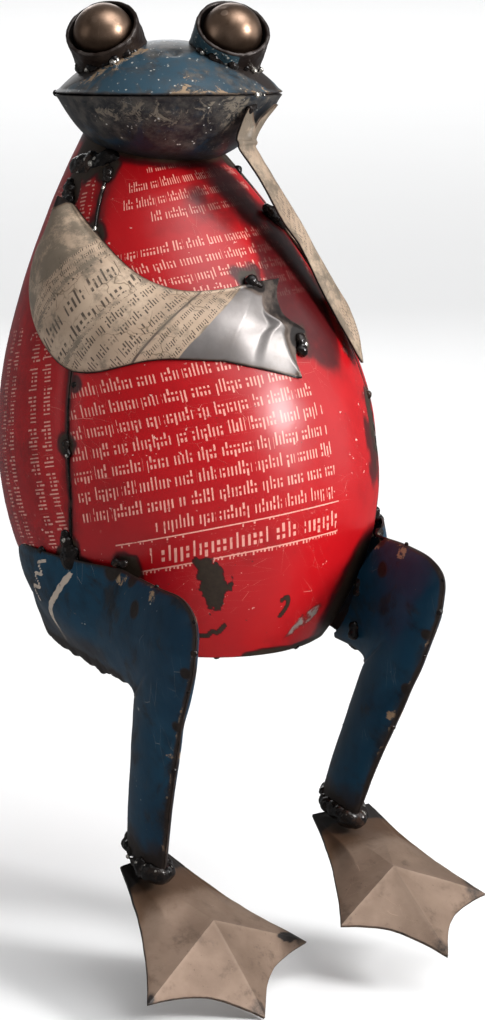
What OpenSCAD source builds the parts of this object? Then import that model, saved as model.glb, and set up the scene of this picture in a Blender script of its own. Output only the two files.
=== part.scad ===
// Shelf-sitting sheet-metal frog, welded from recycled drum tin.
// Frame: origin at the middle of the flat seat face, +Z up, the frog faces -Y,
// its own left side is +X. Millimetres.

/* [Body] */
// Backward lean of the pear body
lean = 12; // [0:0.5:15]
// Sideways lean of the pear body towards its own right
side_lean = 4.1; // [0:0.1:6]
// How far the seat centre sits to the left of the middle of the legs
leg_shift_x = 9.5; // [0:0.5:12]
// Radius of the body at the belly
belly_r = 86; // [80:1:90]
// Height of the belly above the seat
belly_h = 86; // [78:1:94]
// Radius of the body at the neck
neck_r = 32.5; // [30:0.5:38]
// Height of the neck above the seat, along the lean
neck_h = 222; // [216:1:228]
// Radius of the body at the seat
seat_r = 56.3; // [54:0.5:62]
// Height of the body's lower edge ring above the flat seat
drop = 5; // [3:0.5:8]
// Radius of the flat seat
flat_r = 32; // [26:1:40]
// Half angle of the front panel
seam_half = 58; // [54:1:64]
// Thickness of the drum tin
tin = 0.8; // [0.6:0.1:1.2]

/* [Head] */
// Radius of the mouth rim
rim_r = 51; // [48:0.5:54]
// Height of the mouth line
mouth_z = 249; // [245:0.5:253]
// Depth of the lower jaw below the mouth line
jaw_drop = 33; // [28:0.5:36]
// Height of the head dome above the mouth line
head_rise = 23.5; // [22:0.5:28]
// Distance of the head centre behind the seat centre
head_back = 28; // [24:0.5:32]
// Turn of the face towards its own right
head_turn = 27; // [0:1:35]
// Upward nod of the face
head_nod = 2.5; // [0:0.5:6]

/* [Eyes] */
// Radius of the steel eye balls
eye_r = 12.5; // [11:0.1:14]
// Outer radius of the eye cups
cup_r = 17; // [16:0.1:18.5]
// Length of the eye cups
cup_len = 24; // [20:0.5:28]
// Outward turn of each eye
eye_splay = 20; // [10:1:25]
// Upward tilt of the eyes
eye_tilt = 46; // [30:1:50]

/* [Legs] */
// Half thickness of a leg at the knee
knee_t = 8; // [6:0.5:10]
// Half thickness of a leg at the ankle
ankle_t = 6; // [4.5:0.5:8]

/* [Feet] */
// Thickness of the foot plate
foot_t = 1.2; // [1:0.1:1.6]
// Height of the raised middle of the foot
foot_rise = 11; // [7:0.5:14]

/* [Hidden] */
$fn = 72;

// ---------- helpers ----------
function lerp(a, b, t) = a + (b - a) * t;
function unit(v) = v / max(norm(v), 1e-6);
// Catmull-Rom point on a list of points, u from 0 to 1
function cr(p, u) =
    let (n = len(p) - 1, s = min(max(u, 0), 1) * n, i = min(floor(s), n - 1), t = s - i,
         a = i > 0 ? p[i - 1] : 2 * p[0] - p[1], b = p[i], c = p[i + 1],
         d = i + 2 <= n ? p[i + 2] : 2 * p[n] - p[n - 1])
    0.5 * ((2 * b) + (c - a) * t + (2 * a - 5 * b + 4 * c - d) * t * t + (3 * b - a - 3 * c + d) * t * t * t);

// closed sheet solid from a grid of outer points and a matching grid of inner points
module sheet(outer, inner) {
    n = len(outer); m = len(outer[0]);
    pts = concat([for (r = outer) each r], [for (r = inner) each r]);
    o = n * m;
    faces = concat(
        [for (i = [0:n-2], j = [0:m-2]) each [[i*m+j, i*m+j+1, (i+1)*m+j+1], [i*m+j, (i+1)*m+j+1, (i+1)*m+j]]],
        [for (i = [0:n-2], j = [0:m-2]) each [[o+i*m+j, o+(i+1)*m+j+1, o+i*m+j+1], [o+i*m+j, o+(i+1)*m+j, o+(i+1)*m+j+1]]],
        [for (i = [0:n-2]) each [[i*m, (i+1)*m, o+(i+1)*m], [i*m, o+(i+1)*m, o+i*m]]],
        [for (i = [0:n-2]) each [[i*m+m-1, o+(i+1)*m+m-1, (i+1)*m+m-1], [i*m+m-1, o+i*m+m-1, o+(i+1)*m+m-1]]],
        [for (j = [0:m-2]) each [[j, o+j, o+j+1], [j, o+j+1, j+1]]],
        [for (j = [0:m-2]) let (k = (n-1)*m+j) each [[k, o+k+1, o+k], [k, k+1, o+k+1]]]);
    polyhedron(pts, faces, convexity = 6);
}

// grid normals by finite differences; sgn picks the side
function gridn(g, i, j, sgn) =
    let (n = len(g), m = len(g[0]),
         du = g[min(i+1, n-1)][j] - g[max(i-1, 0)][j],
         dv = g[i][min(j+1, m-1)] - g[i][max(j-1, 0)])
    sgn * unit(cross(du, dv));
function thicken(g, t, sgn) = [for (i = [0:len(g)-1]) [for (j = [0:len(g[0])-1]) g[i][j] - t * gridn(g, i, j, sgn)]];

module mx(side) { if (side > 0) children(); else mirror([1, 0, 0]) children(); }

// ---------- body ----------
function body_r(h) = h > belly_h
    ? neck_r + (belly_r - neck_r) * (1 - pow((h - belly_h) / (neck_h - belly_h), 1.74))
    : belly_r - (belly_r - seat_r) * pow((belly_h - h) / belly_h, 2.48);
body_top = 236;
body_low = -14;
function leanp(p) =
    let (z = -p[1] * sin(lean) + p[2] * cos(lean))
    [p[0] * cos(side_lean) - z * sin(side_lean), p[1] * cos(lean) + p[2] * sin(lean), p[0] * sin(side_lean) + z * cos(side_lean) + drop];
module leaned() translate([0, 0, drop]) rotate([-lean, -side_lean, 0]) children();
// point on the body at angle th from the front (towards +X), height h, standing off by d
function skin(th, h, d = 0) =
    let (s = (body_r(h + 0.5) - body_r(h - 0.5)), k = 1 / sqrt(1 + s * s), rr = body_r(h) + d * k)
    leanp([rr * sin(th), -rr * cos(th), h - d * s * k]);

// everything below the shallow dish that closes the body
dish_k = 3.4;
module below(g = 0) rotate_extrude()
    polygon([[0, -60], [160, -60], [160, (160 - flat_r) / dish_k + g], [flat_r, g], [0, g]]);

module body_shell(a0, a1, t = tin) {
    hs = [for (i = [0:26]) body_low + (body_top - body_low) * i / 26];
    difference() {
        leaned()
            rotate([0, 0, a0 - 90])
                rotate_extrude(angle = a1 - a0, convexity = 4)
                    polygon(concat([for (h = hs) [body_r(h), h]],
                                   [for (i = [26:-1:0]) [body_r(hs[i]) - t, hs[i]]]));
        below();
        jaw_ball(0.15);
    }
}
module front_body_panel() color("#b3121a") body_shell(-seam_half, seam_half);
module left_body_panel()  color("#a01018") body_shell(seam_half + 0.35, 179.8);
module right_body_panel() color("#a01018") body_shell(-179.8, -seam_half - 0.35);
module seat_plate() color("#5a4a48")
    intersection() {
        difference() { below(1); below(0); }
        leaned() rotate_extrude()
            polygon(concat([[0, body_low - 8]], [for (i = [0:9]) let (h = body_low - 8 + 5 * i) [body_r(h) - tin - 0.2, h]], [[0, body_low + 37]]));
    }

// ---------- head ----------
head_x = -leg_shift_x;
jaw_R = (rim_r * rim_r + jaw_drop * jaw_drop) / (2 * jaw_drop);
dome_R = (rim_r * rim_r + head_rise * head_rise) / (2 * head_rise);
jaw_c = jaw_R - jaw_drop;
dome_c = 1 + head_rise - dome_R;
module head_place() translate([head_x, head_back, mouth_z]) rotate([0, 0, -head_turn]) rotate([-head_nod, 0, 0]) children();
module jaw_ball(g = 0) head_place() translate([0, 0, jaw_c]) sphere(r = jaw_R + g, $fn = 96);
module dome_ball(g = 0) head_place() translate([0, 0, dome_c]) sphere(r = dome_R + g, $fn = 96);
module cap_half(R, t, sag) {
    a = acos((R - sag) / R);
    rotate_extrude(convexity = 4)
        polygon(concat([for (i = [0:18]) let (b = a * i / 18) [R * sin(b), R * cos(b)]],
                       [for (i = [18:-1:0]) let (b = a * i / 18) [(R - t) * sin(b), (R - t) * cos(b)]]));
}
module head_top() color("#22384f")
    difference() {
        head_place() translate([0, 0, dome_c]) cap_half(dome_R, tin, head_rise);
        for (s = [-1, 1]) eye_place(s) translate([0, 0, -cup_len - 0.15]) cylinder(r = cup_r + 0.15, h = 40);
    }
module lower_jaw() color("#1d3044")
    head_place() translate([0, 0, jaw_c]) mirror([0, 0, 1]) cap_half(jaw_R, tin, jaw_drop);

// ---------- eyes ----------
module eye_place(s)
    translate([head_x, head_back, 0]) rotate([0, 0, -head_turn])
        translate([s * 29.3, -17, mouth_z + 30.4])
            rotate([0, 0, s * eye_splay]) rotate([90 - eye_tilt, 0, 0]) children();
module eye_socket(s) color("#3a2f2a")
    difference() {
        eye_place(s) translate([0, 0, -cup_len]) difference() {
            cylinder(r = cup_r, h = cup_len);
            translate([0, 0, 1.2]) cylinder(r = cup_r - 1.3, h = cup_len);
        }
        dome_ball(-tin - 0.15);
    }
module right_eye_socket() eye_socket(-1);
module left_eye_socket() eye_socket(1);
module eye_dome(s) color("#8a6b52")
    eye_place(s) difference() {
        translate([0, 0, -5.3]) sphere(r = eye_r);
        translate([-20, -20, -40]) cube([40, 40, 40 - 8]);
    }
module right_eye_dome() eye_dome(-1);
module left_eye_dome() eye_dome(1);

// ---------- right arm, hugging the belly ----------
ra_in  = [[-70, 201.4], [-63.4, 197.6], [-50, 185.6], [-40.6, 174.4], [-35, 167.6], [-28.2, 161], [-20.1, 155.8], [-11.9, 153.3], [-1.4, 152.6], [8.7, 153.6]];
ra_out = [[-77, 203], [-80.5, 190], [-88.5, 178], [-87, 167], [-80, 154], [-70, 140], [-60.4, 129.4], [-50, 125.6], [-30, 126.8], [-9.5, 121.8]];
ra_tip = [[21.7, 153.7], [17.8, 148], [16.4, 143], [17, 136.8], [23, 129.3], [18.2, 126.3], [15.2, 117.5], [14.6, 109]];
// height of the hand above the belly: w runs from wrist to finger tips, v across the fingers
function finger(w, v, k) = let (c = max(w - 0.4, 0) / 0.6, d = abs(v - lerp(0.5, k, c)))
    (w < 0.4 ? 0 : 1) * 4.6 * (1 - 0.8 * c) * max(0, 1 - d / (0.17 - 0.07 * c));
module right_arm() {
    n = 30; m = 16; nh = 12;
    function lift(u, v) = 0.9 + tin + 9.5 * pow(sin(180 * v), 0.8) * (0.4 + 0.6 * sin(180 * min(u * 0.72 + 0.14, 1)));
    arm = [for (i = [0:n]) [for (j = [0:m])
        let (u = i / n, v = j / m, q = lerp(cr(ra_in, u), cr(ra_out, u), v)) [q[0], q[1], lift(u, v)]]];
    hand = [for (i = [1:nh]) [for (j = [0:m])
        let (w = i / nh, v = j / m, q = lerp(lerp(ra_in[9], ra_out[9], v), cr(ra_tip, v), w))
        [q[0], q[1], max(lerp(lift(1, v), 1.0 + tin, pow(w, 0.8)) * 1.0, 1.0 + tin) + max(finger(w, v, 0.02), finger(w, v, 0.571), finger(w, v, 0.99))]]];
    g = concat(arm, hand);
    color("#a39a80") sheet([for (r = g) [for (q = r) skin(q[0], q[1], q[2])]],
                           [for (r = g) [for (q = r) skin(q[0], q[1], q[2] - tin)]]);
}

// ---------- left arm, propping the chin ----------
la_out = [[40.0, 12.2, 190.3], [47.7, 12.8, 183.3], [56.5, 11.6, 171.9], [63.9, 5.6, 157.7], [65.8, -5.5, 145.5], [62.7, -19.6, 135.6], [56.6, -33.3, 130.3], [48.4, -34.8, 142.4], [40.9, -34.3, 154.7], [34.3, -33.2, 167.1], [26.6, -30.4, 183.7], [19.0, -27.7, 195.4], [10.7, -24.5, 211.8], [4.7, -22.6, 221.6], [0.0, -20.2, 230.3], [2.3, -19.7, 238.5], [5.7, -19.7, 245.3]];
la_in  = [[23.8, -3.1, 199.9], [33.0, -1.1, 189.7], [40.9, -1.8, 180.2], [47.6, -4.0, 171.4], [52.9, -6.7, 163.6], [55.3, -9.1, 159.2], [54.6, -12.1, 160.0], [50.6, -14.6, 165.6], [46.0, -14.5, 173.2], [40.2, -12.6, 183.3], [35.0, -10.0, 193.7], [28.9, -8.0, 205.0], [22.3, -6.9, 215.5], [16.9, -8.6, 223.4], [13.9, -10.5, 229.5], [19.8, -7.8, 237.9], [26.2, -8.9, 245.7]];
module left_arm() {
    n = 44; m = 8;
    g = [for (i = [0:n]) [for (j = [0:m])
        let (u = i / n, v = j / m, a = cr(la_out, u), b = cr(la_in, u),
             b5 = 3.2 * sin(180 * v) * (0.35 + 0.65 * sin(180 * min(u * 0.95 + 0.03, 1))))
        lerp(a, b, v) + b5 * [0.80, -0.36, 0.42]]];
    color("#b0a484") sheet(g, thicken(g, tin, 1));
}

// ---------- legs ----------
// side outlines as [forward, height]: the front or top edge, then the rear or lower edge
leg_top_r = [[-50, 36], [-38, 43], [-14, 46.5], [14, 47], [38, 46.2], [60, 45.4], [82, 45.4], [103, 45.6], [115, 39.5], [116.3, 28.5], [111, 12.6], [99.6, -7], [87.7, -32.5], [76.6, -59.6], [66.7, -88]];
leg_top_l = [[-50, 36], [-38, 43], [-14, 46.5], [14, 47], [40, 47], [62, 47.6], [83, 48], [101, 46.2], [111.6, 40], [110.7, 28.6], [104.3, 12], [96.2, -8.2], [85, -33], [73, -60.5], [63.6, -88.5]];
leg_low = [[-54, 29], [-51, 12], [-41, -2], [-22, -5], [4, -5], [24, -5], [40, -5], [48, -6], [52.5, -8], [53, -11], [51, -17], [47.5, -28], [43, -44], [38, -61], [34, -78]];
function leg_top(s) = s < 0 ? leg_top_r : leg_top_l;
// lateral place of the leg's middle plane at the knee and at the ankle, and how much the ankle is raised
knee_l = [58, 63.5];
ankle_l = [50.5, 47.5];
ankle_up = [-2, 8];
function si(s) = s < 0 ? 0 : 1;
function leg_k(z) = min(max((z + 84) / 107, 0), 1);
function leg_mid(s, z) = lerp(ankle_l[si(s)], knee_l[si(s)], leg_k(z));
function leg_t(z) = ankle_t + (knee_t - ankle_t) * leg_k(z);
// lateral reach of the body on side s at forward distance f and height z, measured from the middle of the legs
function body_lat(s, f, z) =
    let (R = body_r(z + 1.5) + 0.5, fc = -z * tan(lean), d = R * R - (f - fc) * (f - fc))
    (z > -16 && d > 0 ? sqrt(d) : 0) + s * (leg_shift_x - z * tan(side_lean));
function smax(a, b, k) = let (h = max(k - abs(a - b), 0) / k) max(a, b) + h * h * k / 4;
function leg_shift(s, p) = [p[0], p[1] + ankle_up[si(s)] * min(max(-p[1] / 84, 0), 1) + (s > 0 ? 3 : 0) * min(max(p[1] / 40, 0), 1)];
module leg_frame(s) translate([-leg_shift_x, 0, drop]) mx(s) children();
module leg_outer(s) color("#24384f") leg_frame(s) {
    n = 42; m = 10;
    g = [for (i = [0:n]) [for (j = [0:m])
        let (u = i / n, v = j / m, q = leg_shift(s, lerp(cr(leg_top(s), u), cr(leg_low, u), v)), c = sin(180 * v),
             base = leg_mid(s, q[1]), b = pow(c, 0.55) * leg_t(q[1]) * min(1, 0.35 + u * 6),
             onb = body_lat(s, q[0], q[1]) + 1.3 + tin + 4.5 * v + (3.0 + 5 * v) * pow(c, 0.7))
        [smax(base + 0.2 + b, onb, 5), -q[0], q[1]]]];
    sheet(g, thicken(g, tin, -1));
}
module leg_inner(s) color("#1f3147") {
    n = 34; m = 10; u0 = 0.36;
    g = [for (i = [0:n]) [for (j = [0:m])
        let (u = u0 + (1 - u0) * i / n, v = j / m, q = leg_shift(s, lerp(cr(leg_top(s), u), cr(leg_low, u), v)), c = sin(180 * v),
             b = pow(c, 0.55) * leg_t(q[1]))
        [leg_mid(s, q[1]) - 0.2 - b, -q[0], q[1]]]];
    difference() {
        leg_frame(s) sheet(g, thicken(g, tin, 1));
        leaned() rotate_extrude($fn = 48)
            polygon(concat([[0, -14]], [for (h = [-14:11:74]) [body_r(h) + 0.4, h]], [[0, 74]]));
    }
}
module right_leg_outer() leg_outer(-1);
module left_leg_outer() leg_outer(1);
module right_leg_inner() leg_inner(-1);
module left_leg_inner() leg_inner(1);

// ---------- feet ----------
// pose: heel middle, turn about Z, nose-down angle, half heel, middle toe, side toes, side toe angle, apex where the ridges meet
right_pose = [[-56.8, -40.0, -84.6], 19.4, 35.8, 13.9, 93.2, 83.7, 37.0, [0.5, 46]];
left_pose  = [[44.2, -40.1, -76.4], 4.1, 26.1, 15.5, 97.7, 78.6, 30.1, [-4, 50]];
function arc2(a, b, k, n, apex) = [for (i = [1:n-1]) let (t = i / n, p = lerp(a, b, t)) p + (apex - p) * k * 4 * t * (1 - t)];
function foot_rim(p) =
    let (w = p[3], L = p[4], S = p[5], A = p[6],
         h0 = [-w, 0], h1 = [w, 0], t0 = [-S * sin(A), S * cos(A)], t1 = [0, L], t2 = [S * sin(A), S * cos(A)], ap = p[7])
    concat([h1], arc2(h1, t2, 0.10, 6, ap), [t2], arc2(t2, t1, 0.17, 6, ap), [t1], arc2(t1, t0, 0.17, 6, ap), [t0],
           arc2(t0, h0, 0.10, 6, ap), [h0]);
function foot_pt(p, rim, ap, i, t) = let (q = lerp(rim[i], ap, t)) [q[0], q[1], foot_rise * pow(t, 0.9)];
module foot(p) color("#8f8578")
    translate(p[0]) rotate([0, 0, p[1]]) rotate([p[2], 0, 0]) mirror([0, 1, 0]) {
        rim = foot_rim(p); n = len(rim); ap = p[7];
        rings = 4;
        top = [for (k = [0:rings-1]) [for (i = [0:n-1]) foot_pt(p, rim, ap, i, k / rings)]];
        pts = concat([for (r = top) each r], [[ap[0], ap[1], foot_rise]],
                     [for (r = top) each [for (q = r) q - [0, 0, foot_t]]], [[ap[0], ap[1], foot_rise - foot_t]]);
        c = rings * n; o = c + 1;
        faces = concat(
            [for (k = [0:rings-2], i = [0:n-1]) let (a = k*n+i, b = k*n+(i+1)%n, d = (k+1)*n+i, e = (k+1)*n+(i+1)%n) each [[a, b, e], [a, e, d]]],
            [for (i = [0:n-1]) [(rings-1)*n+i, (rings-1)*n+(i+1)%n, c]],
            [for (k = [0:rings-2], i = [0:n-1]) let (a = o+k*n+i, b = o+k*n+(i+1)%n, d = o+(k+1)*n+i, e = o+(k+1)*n+(i+1)%n) each [[a, e, b], [a, d, e]]],
            [for (i = [0:n-1]) [o+(rings-1)*n+i, o+c, o+(rings-1)*n+(i+1)%n]],
            [for (i = [0:n-1]) let (a = i, b = (i+1)%n) each [[a, o+a, o+b], [a, o+b, b]]]);
        polyhedron(pts, [for (f = faces) [f[2], f[1], f[0]]], convexity = 6);
    }
module right_foot() foot(right_pose);
module left_foot() foot(left_pose);

// ---------- weld beads ----------
module bead(p, r = 3) translate(p) sphere(r = r, $fn = 24);
module body_seam_welds() color("#201c1a") {
    for (q = [[-58.2, 213, 2.6], [-58.2, 184, 2.6], [-58.2, 122, 2.0], [-58.2, 95, 2.4], [-58.2, 46, 3.4], [-58.2, 38.5, 3.0],
              [58.2, 206, 2.6], [58.2, 150, 2.4], [58.2, 96, 2.4], [58.2, 42, 3.0], [180, 200, 2.6], [180, 150, 2.6], [180, 96, 2.6], [180, 40, 3.0]])
        bead(skin(q[0], q[1], 0.2), q[2]);
}
module neck_welds() color("#17130f") {
    for (a = [-76, -64, -54, 66, 76, 140, 152, -140, -152]) bead(skin(a, 219.5, 1.2), 4.2);
}
module mouth_weld() color("#a7a29a") head_place() for (a = [52, 176, -92]) bead([rim_r * sin(a), -rim_r * cos(a), 0.5], 1.8);
module eye_welds() color("#241d18")
    for (s = [-1, 1]) eye_place(s) for (q = [[200, -17], [235, -13.5], [270, -12], [305, -13.5], [340, -17]])
        translate([(cup_r + 0.6) * cos(q[0]), (cup_r + 0.6) * sin(q[0]), q[1]]) sphere(r = 2.8, $fn = 24);
module shoulder_welds() color("#1a1613") {
    for (q = [[-73, 201.5], [-76.8, 206.2], [-80.6, 210.9]]) bead(skin(q[0], q[1], 0.8), 2.3);
    for (t = [0, 0.5, 1]) bead(lerp([23.7, -4.2, 199.1], [33.0, -1.1, 190.1], t), 2.6);
}
module hand_welds() color("#0f0c0a") { bead(skin(8.7, 153.8, 1.6), 3.6); bead(skin(19.5, 125.5, 1.2), 3.4); bead(skin(18.6, 121, 1.2), 3.2); }
module chin_weld() color("#1a1613") { bead([7.4, -18.3, 244.3], 2.4); bead([11.4, -15.6, 245.6], 2.0); }
module hip_welds() color("#15110e") for (s = [-1, 1]) leg_frame(s) {
    for (q = [[44, 47], [20, 47.5], [0, 46.5]]) bead([body_lat(s, q[0], q[1]) + 1.0, -q[0], q[1] + 0.6], 2.6);
    for (q = [[50, 4], [50, 28]]) bead([leg_mid(s, q[1]) - leg_t(q[1]) + 0.5, -q[0] - 1, q[1]], 3.0);
}
module leg_seam_welds() color("#1a1613") for (s = [-1, 1]) leg_frame(s) {
    for (u = [0.42, 0.58, 0.66, 0.74, 0.86]) let (q = leg_shift(s, cr(leg_top(s), u))) bead([leg_mid(s, q[1]), -q[0] - 0.2, q[1]], 2.0);
    for (u = [0.6, 0.72, 0.86]) let (q = leg_shift(s, cr(leg_low, u))) bead([leg_mid(s, q[1]), -q[0] + 0.2, q[1]], 2.0);
}
module ankle_welds() color("#0d0b0a") for (s = [-1, 1]) leg_frame(s) {
    a = leg_shift(s, leg_top(s)[14]); b = leg_shift(s, leg_low[14]); c = (a + b) / 2;
    for (q = [[0, 4.0], [180, 4.0], [60, 4.3], [-60, 4.3], [120, 4.3], [-120, 4.3], [90, 2.6], [-90, 2.6]]) let (t = q[0])
        bead([leg_mid(s, c[1]) + (ankle_t - 0.5) * sin(t), -(c[0] + (a[0] - c[0]) * cos(t) * 0.9), c[1] + (a[1] - c[1]) * cos(t) * 0.9], q[1]);
}
module seat_welds() color("#1a1613") for (a = [25, 80, 130, 180, 230, 280, 335])
    let (r = 56 - 10.5 * cos(a)) translate([r * sin(a) - 1, -r * cos(a), (r - flat_r) / dish_k + 1]) sphere(r = 2.2, $fn = 24);

front_body_panel();
right_body_panel();
left_body_panel();
seat_plate();
head_top();
lower_jaw();
right_eye_socket();
left_eye_socket();
right_eye_dome();
left_eye_dome();
right_arm();
left_arm();
right_leg_outer();
right_leg_inner();
left_leg_outer();
left_leg_inner();
right_foot();
left_foot();
body_seam_welds();
neck_welds();
mouth_weld();
eye_welds();
shoulder_welds();
hand_welds();
chin_weld();
hip_welds();
leg_seam_welds();
ankle_welds();
seat_welds();
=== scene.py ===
import bmesh
import bpy
import functools
import math
import numpy as np
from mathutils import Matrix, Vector


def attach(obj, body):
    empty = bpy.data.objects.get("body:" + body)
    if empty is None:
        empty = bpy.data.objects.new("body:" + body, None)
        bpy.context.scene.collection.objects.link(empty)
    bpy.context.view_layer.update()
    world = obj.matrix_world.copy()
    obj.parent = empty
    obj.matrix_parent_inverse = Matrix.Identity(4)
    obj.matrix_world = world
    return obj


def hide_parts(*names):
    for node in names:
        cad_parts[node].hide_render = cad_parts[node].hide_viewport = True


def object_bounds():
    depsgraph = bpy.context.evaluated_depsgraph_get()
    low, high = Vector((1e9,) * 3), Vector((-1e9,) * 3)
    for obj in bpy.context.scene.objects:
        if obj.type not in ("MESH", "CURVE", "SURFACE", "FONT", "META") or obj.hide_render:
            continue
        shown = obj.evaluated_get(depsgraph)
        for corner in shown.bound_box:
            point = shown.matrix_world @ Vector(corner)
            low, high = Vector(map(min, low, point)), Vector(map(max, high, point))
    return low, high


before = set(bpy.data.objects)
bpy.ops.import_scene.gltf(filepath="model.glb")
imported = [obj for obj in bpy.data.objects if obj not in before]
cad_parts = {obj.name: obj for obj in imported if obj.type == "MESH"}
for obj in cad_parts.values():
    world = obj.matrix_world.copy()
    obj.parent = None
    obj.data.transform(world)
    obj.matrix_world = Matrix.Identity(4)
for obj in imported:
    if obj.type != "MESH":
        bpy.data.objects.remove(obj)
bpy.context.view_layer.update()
MM = 0.001
# shapes are worked out in millimetres in the frame of the CAD; s is 1 for the left side and -1 for the right

# ---------------------------------------------------------------- helpers
def hash3(i, j, k, seed):
    n = (i.astype(np.int64) * 374761393 + j.astype(np.int64) * 668265263 + k.astype(np.int64) * 2147483647
        + seed * 1274126177) & 0xFFFFFFFF
    n = ((n ^ (n >> 13)) * 1274126177) & 0xFFFFFFFF
    n = (n ^ (n >> 16)) & 0xFFFFFFFF
    return n / 4294967295.0

def vnoise(P, size, seed=0, octaves=3):
    """smooth noise from -1 to 1 at points P, size in the same unit as P"""
    P = np.asarray(P, float)
    out = np.zeros(P.shape[:-1])
    amp = 1.0
    tot = 0.0
    for o in range(octaves):
        Q = P / size * (2 ** o) + 17.3 * o
        I = np.floor(Q).astype(np.int64)
        F = Q - I
        F = F * F * (3 - 2 * F)
        acc = 0
        for a in (0, 1):
            for b in (0, 1):
                for c in (0, 1):
                    w = (F[..., 0] if a else 1 - F[..., 0]) * (F[..., 1] if b else 1 - F[..., 1]) * (F[...,
                        2] if c else 1 - F[..., 2])
                    acc = acc + w * hash3(I[..., 0] + a, I[..., 1] + b, I[..., 2] + c, seed + 31 * o)
        out += amp * (acc * 2 - 1)
        tot += amp
        amp *= 0.5
    return out / tot

def sstep(a, b, x):
    t = np.clip((np.asarray(x, float) - a) / (b - a), 0, 1)
    return t * t * (3 - 2 * t)

def fade(a, b, x):
    return 1 - sstep(a, b, x)

def cr(p, u):
    """Catmull-Rom through the rows of p at parameters u in 0..1"""
    p = np.asarray(p, float)
    n = len(p) - 1
    s = np.clip(np.asarray(u, float), 0, 1) * n
    i = np.minimum(np.floor(s).astype(int), n - 1)
    t = (s - i)[..., None]
    q = np.vstack([2 * p[0] - p[1], p, 2 * p[-1] - p[-2]])
    a, b, c, d = q[i], q[i + 1], q[i + 2], q[i + 3]
    return 0.5 * (2 * b + (c - a) * t + (2 * a - 5 * b + 4 * c - d) * t * t + (3 * b - a - 3 * c + d)
        * t ** 3)

def lerp(a, b, t):
    return a + (b - a) * t

def grid_normals(G):
    du = np.gradient(G, axis=0)
    dv = np.gradient(G, axis=1)
    n = np.cross(du, dv)
    return n / np.maximum(np.linalg.norm(n, axis=-1, keepdims=True), 1e-9)

def add_attrs(me, masks=None, uv=None):
    nv = len(me.vertices)
    if masks is not None:
        at = me.color_attributes.new("mask", "FLOAT_COLOR", "POINT")
        buf = np.ones((nv, 4), np.float32)
        buf[:, :3] = np.clip(masks, 0, 4)
        at.data.foreach_set("color", buf.ravel())
    if uv is not None:
        layer = me.uv_layers.new(name="print")
        idx = np.zeros(len(me.loops), np.int32)
        me.loops.foreach_get("vertex_index", idx)
        layer.data.foreach_set("uv", uv[idx].astype(np.float32).ravel())

def put(ob):
    bpy.context.scene.collection.objects.link(ob)

def new_obj(name, verts, faces, mat, node=None, masks=None, uv=None, sharp=None, smooth=True):
    me = bpy.data.meshes.new(name)
    me.from_pydata((np.asarray(verts) * MM).tolist(), [], [list(map(int, f)) for f in faces])
    me.update()
    if smooth:
        me.polygons.foreach_set("use_smooth", [True] * len(me.polygons))
    add_attrs(me, masks, uv)
    if sharp is not None:
        me.set_sharp_from_angle(angle=sharp)
    ob = bpy.data.objects.new(name, me)
    put(ob)
    me.materials.append(mat)
    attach(ob, "root")
    if node:
        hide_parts(*([node] if isinstance(node, str) else node))
    return ob

def cells(n, m, o=0):
    """the four corners of every cell in a grid of n by m points that starts at point o"""
    i, j = np.meshgrid(np.arange(n - 1), np.arange(m - 1), indexing="ij")
    a = (i * m + j).ravel() + o
    return a, a + 1, a + m + 1, a + m

def sheet(name, G, t, sgn, mat, node, masks=None, uv=None, inner=None):
    """closed sheet-metal piece: outer grid G, thickness t to the inside"""
    n, m = G.shape[:2]
    N = grid_normals(G) * sgn
    H = G - N * t if inner is None else inner
    V = np.concatenate([G.reshape(-1, 3), H.reshape(-1, 3)])
    o = n * m
    top = np.stack(cells(n, m), 1)
    bot = np.roll(np.stack(cells(n, m, o)[::-1], 1), 1, 1)
    i = np.arange(n - 1)
    j = np.arange(m - 1)
    e1 = np.stack([i * m, (i + 1) * m, o + (i + 1) * m, o + i * m], 1)
    k = i * m + m - 1
    e2 = np.stack([k, o + k, o + k + m, k + m], 1)
    e3 = np.stack([j, o + j, o + j + 1, j + 1], 1)
    k = (n - 1) * m + j
    e4 = np.stack([k, k + 1, o + k + 1, o + k], 1)
    F = np.concatenate([top, bot, e1, e2, e3, e4])
    # turn the faces outwards
    c = G.reshape(-1, 3)
    f = top[len(top) // 2]
    nn = np.cross(c[f[1]] - c[f[0]], c[f[2]] - c[f[0]]) @ N[(f[0]) // m, f[0] % m]
    if nn < 0:
        F = F[:, ::-1]
    if masks is not None:
        masks = np.concatenate([masks.reshape(-1, 3)] * 2)
    if uv is not None:
        uv = np.concatenate([uv.reshape(-1, 2)] * 2)
    return new_obj(name, V, F, mat, node, masks, uv, sharp=math.radians(50))

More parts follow.
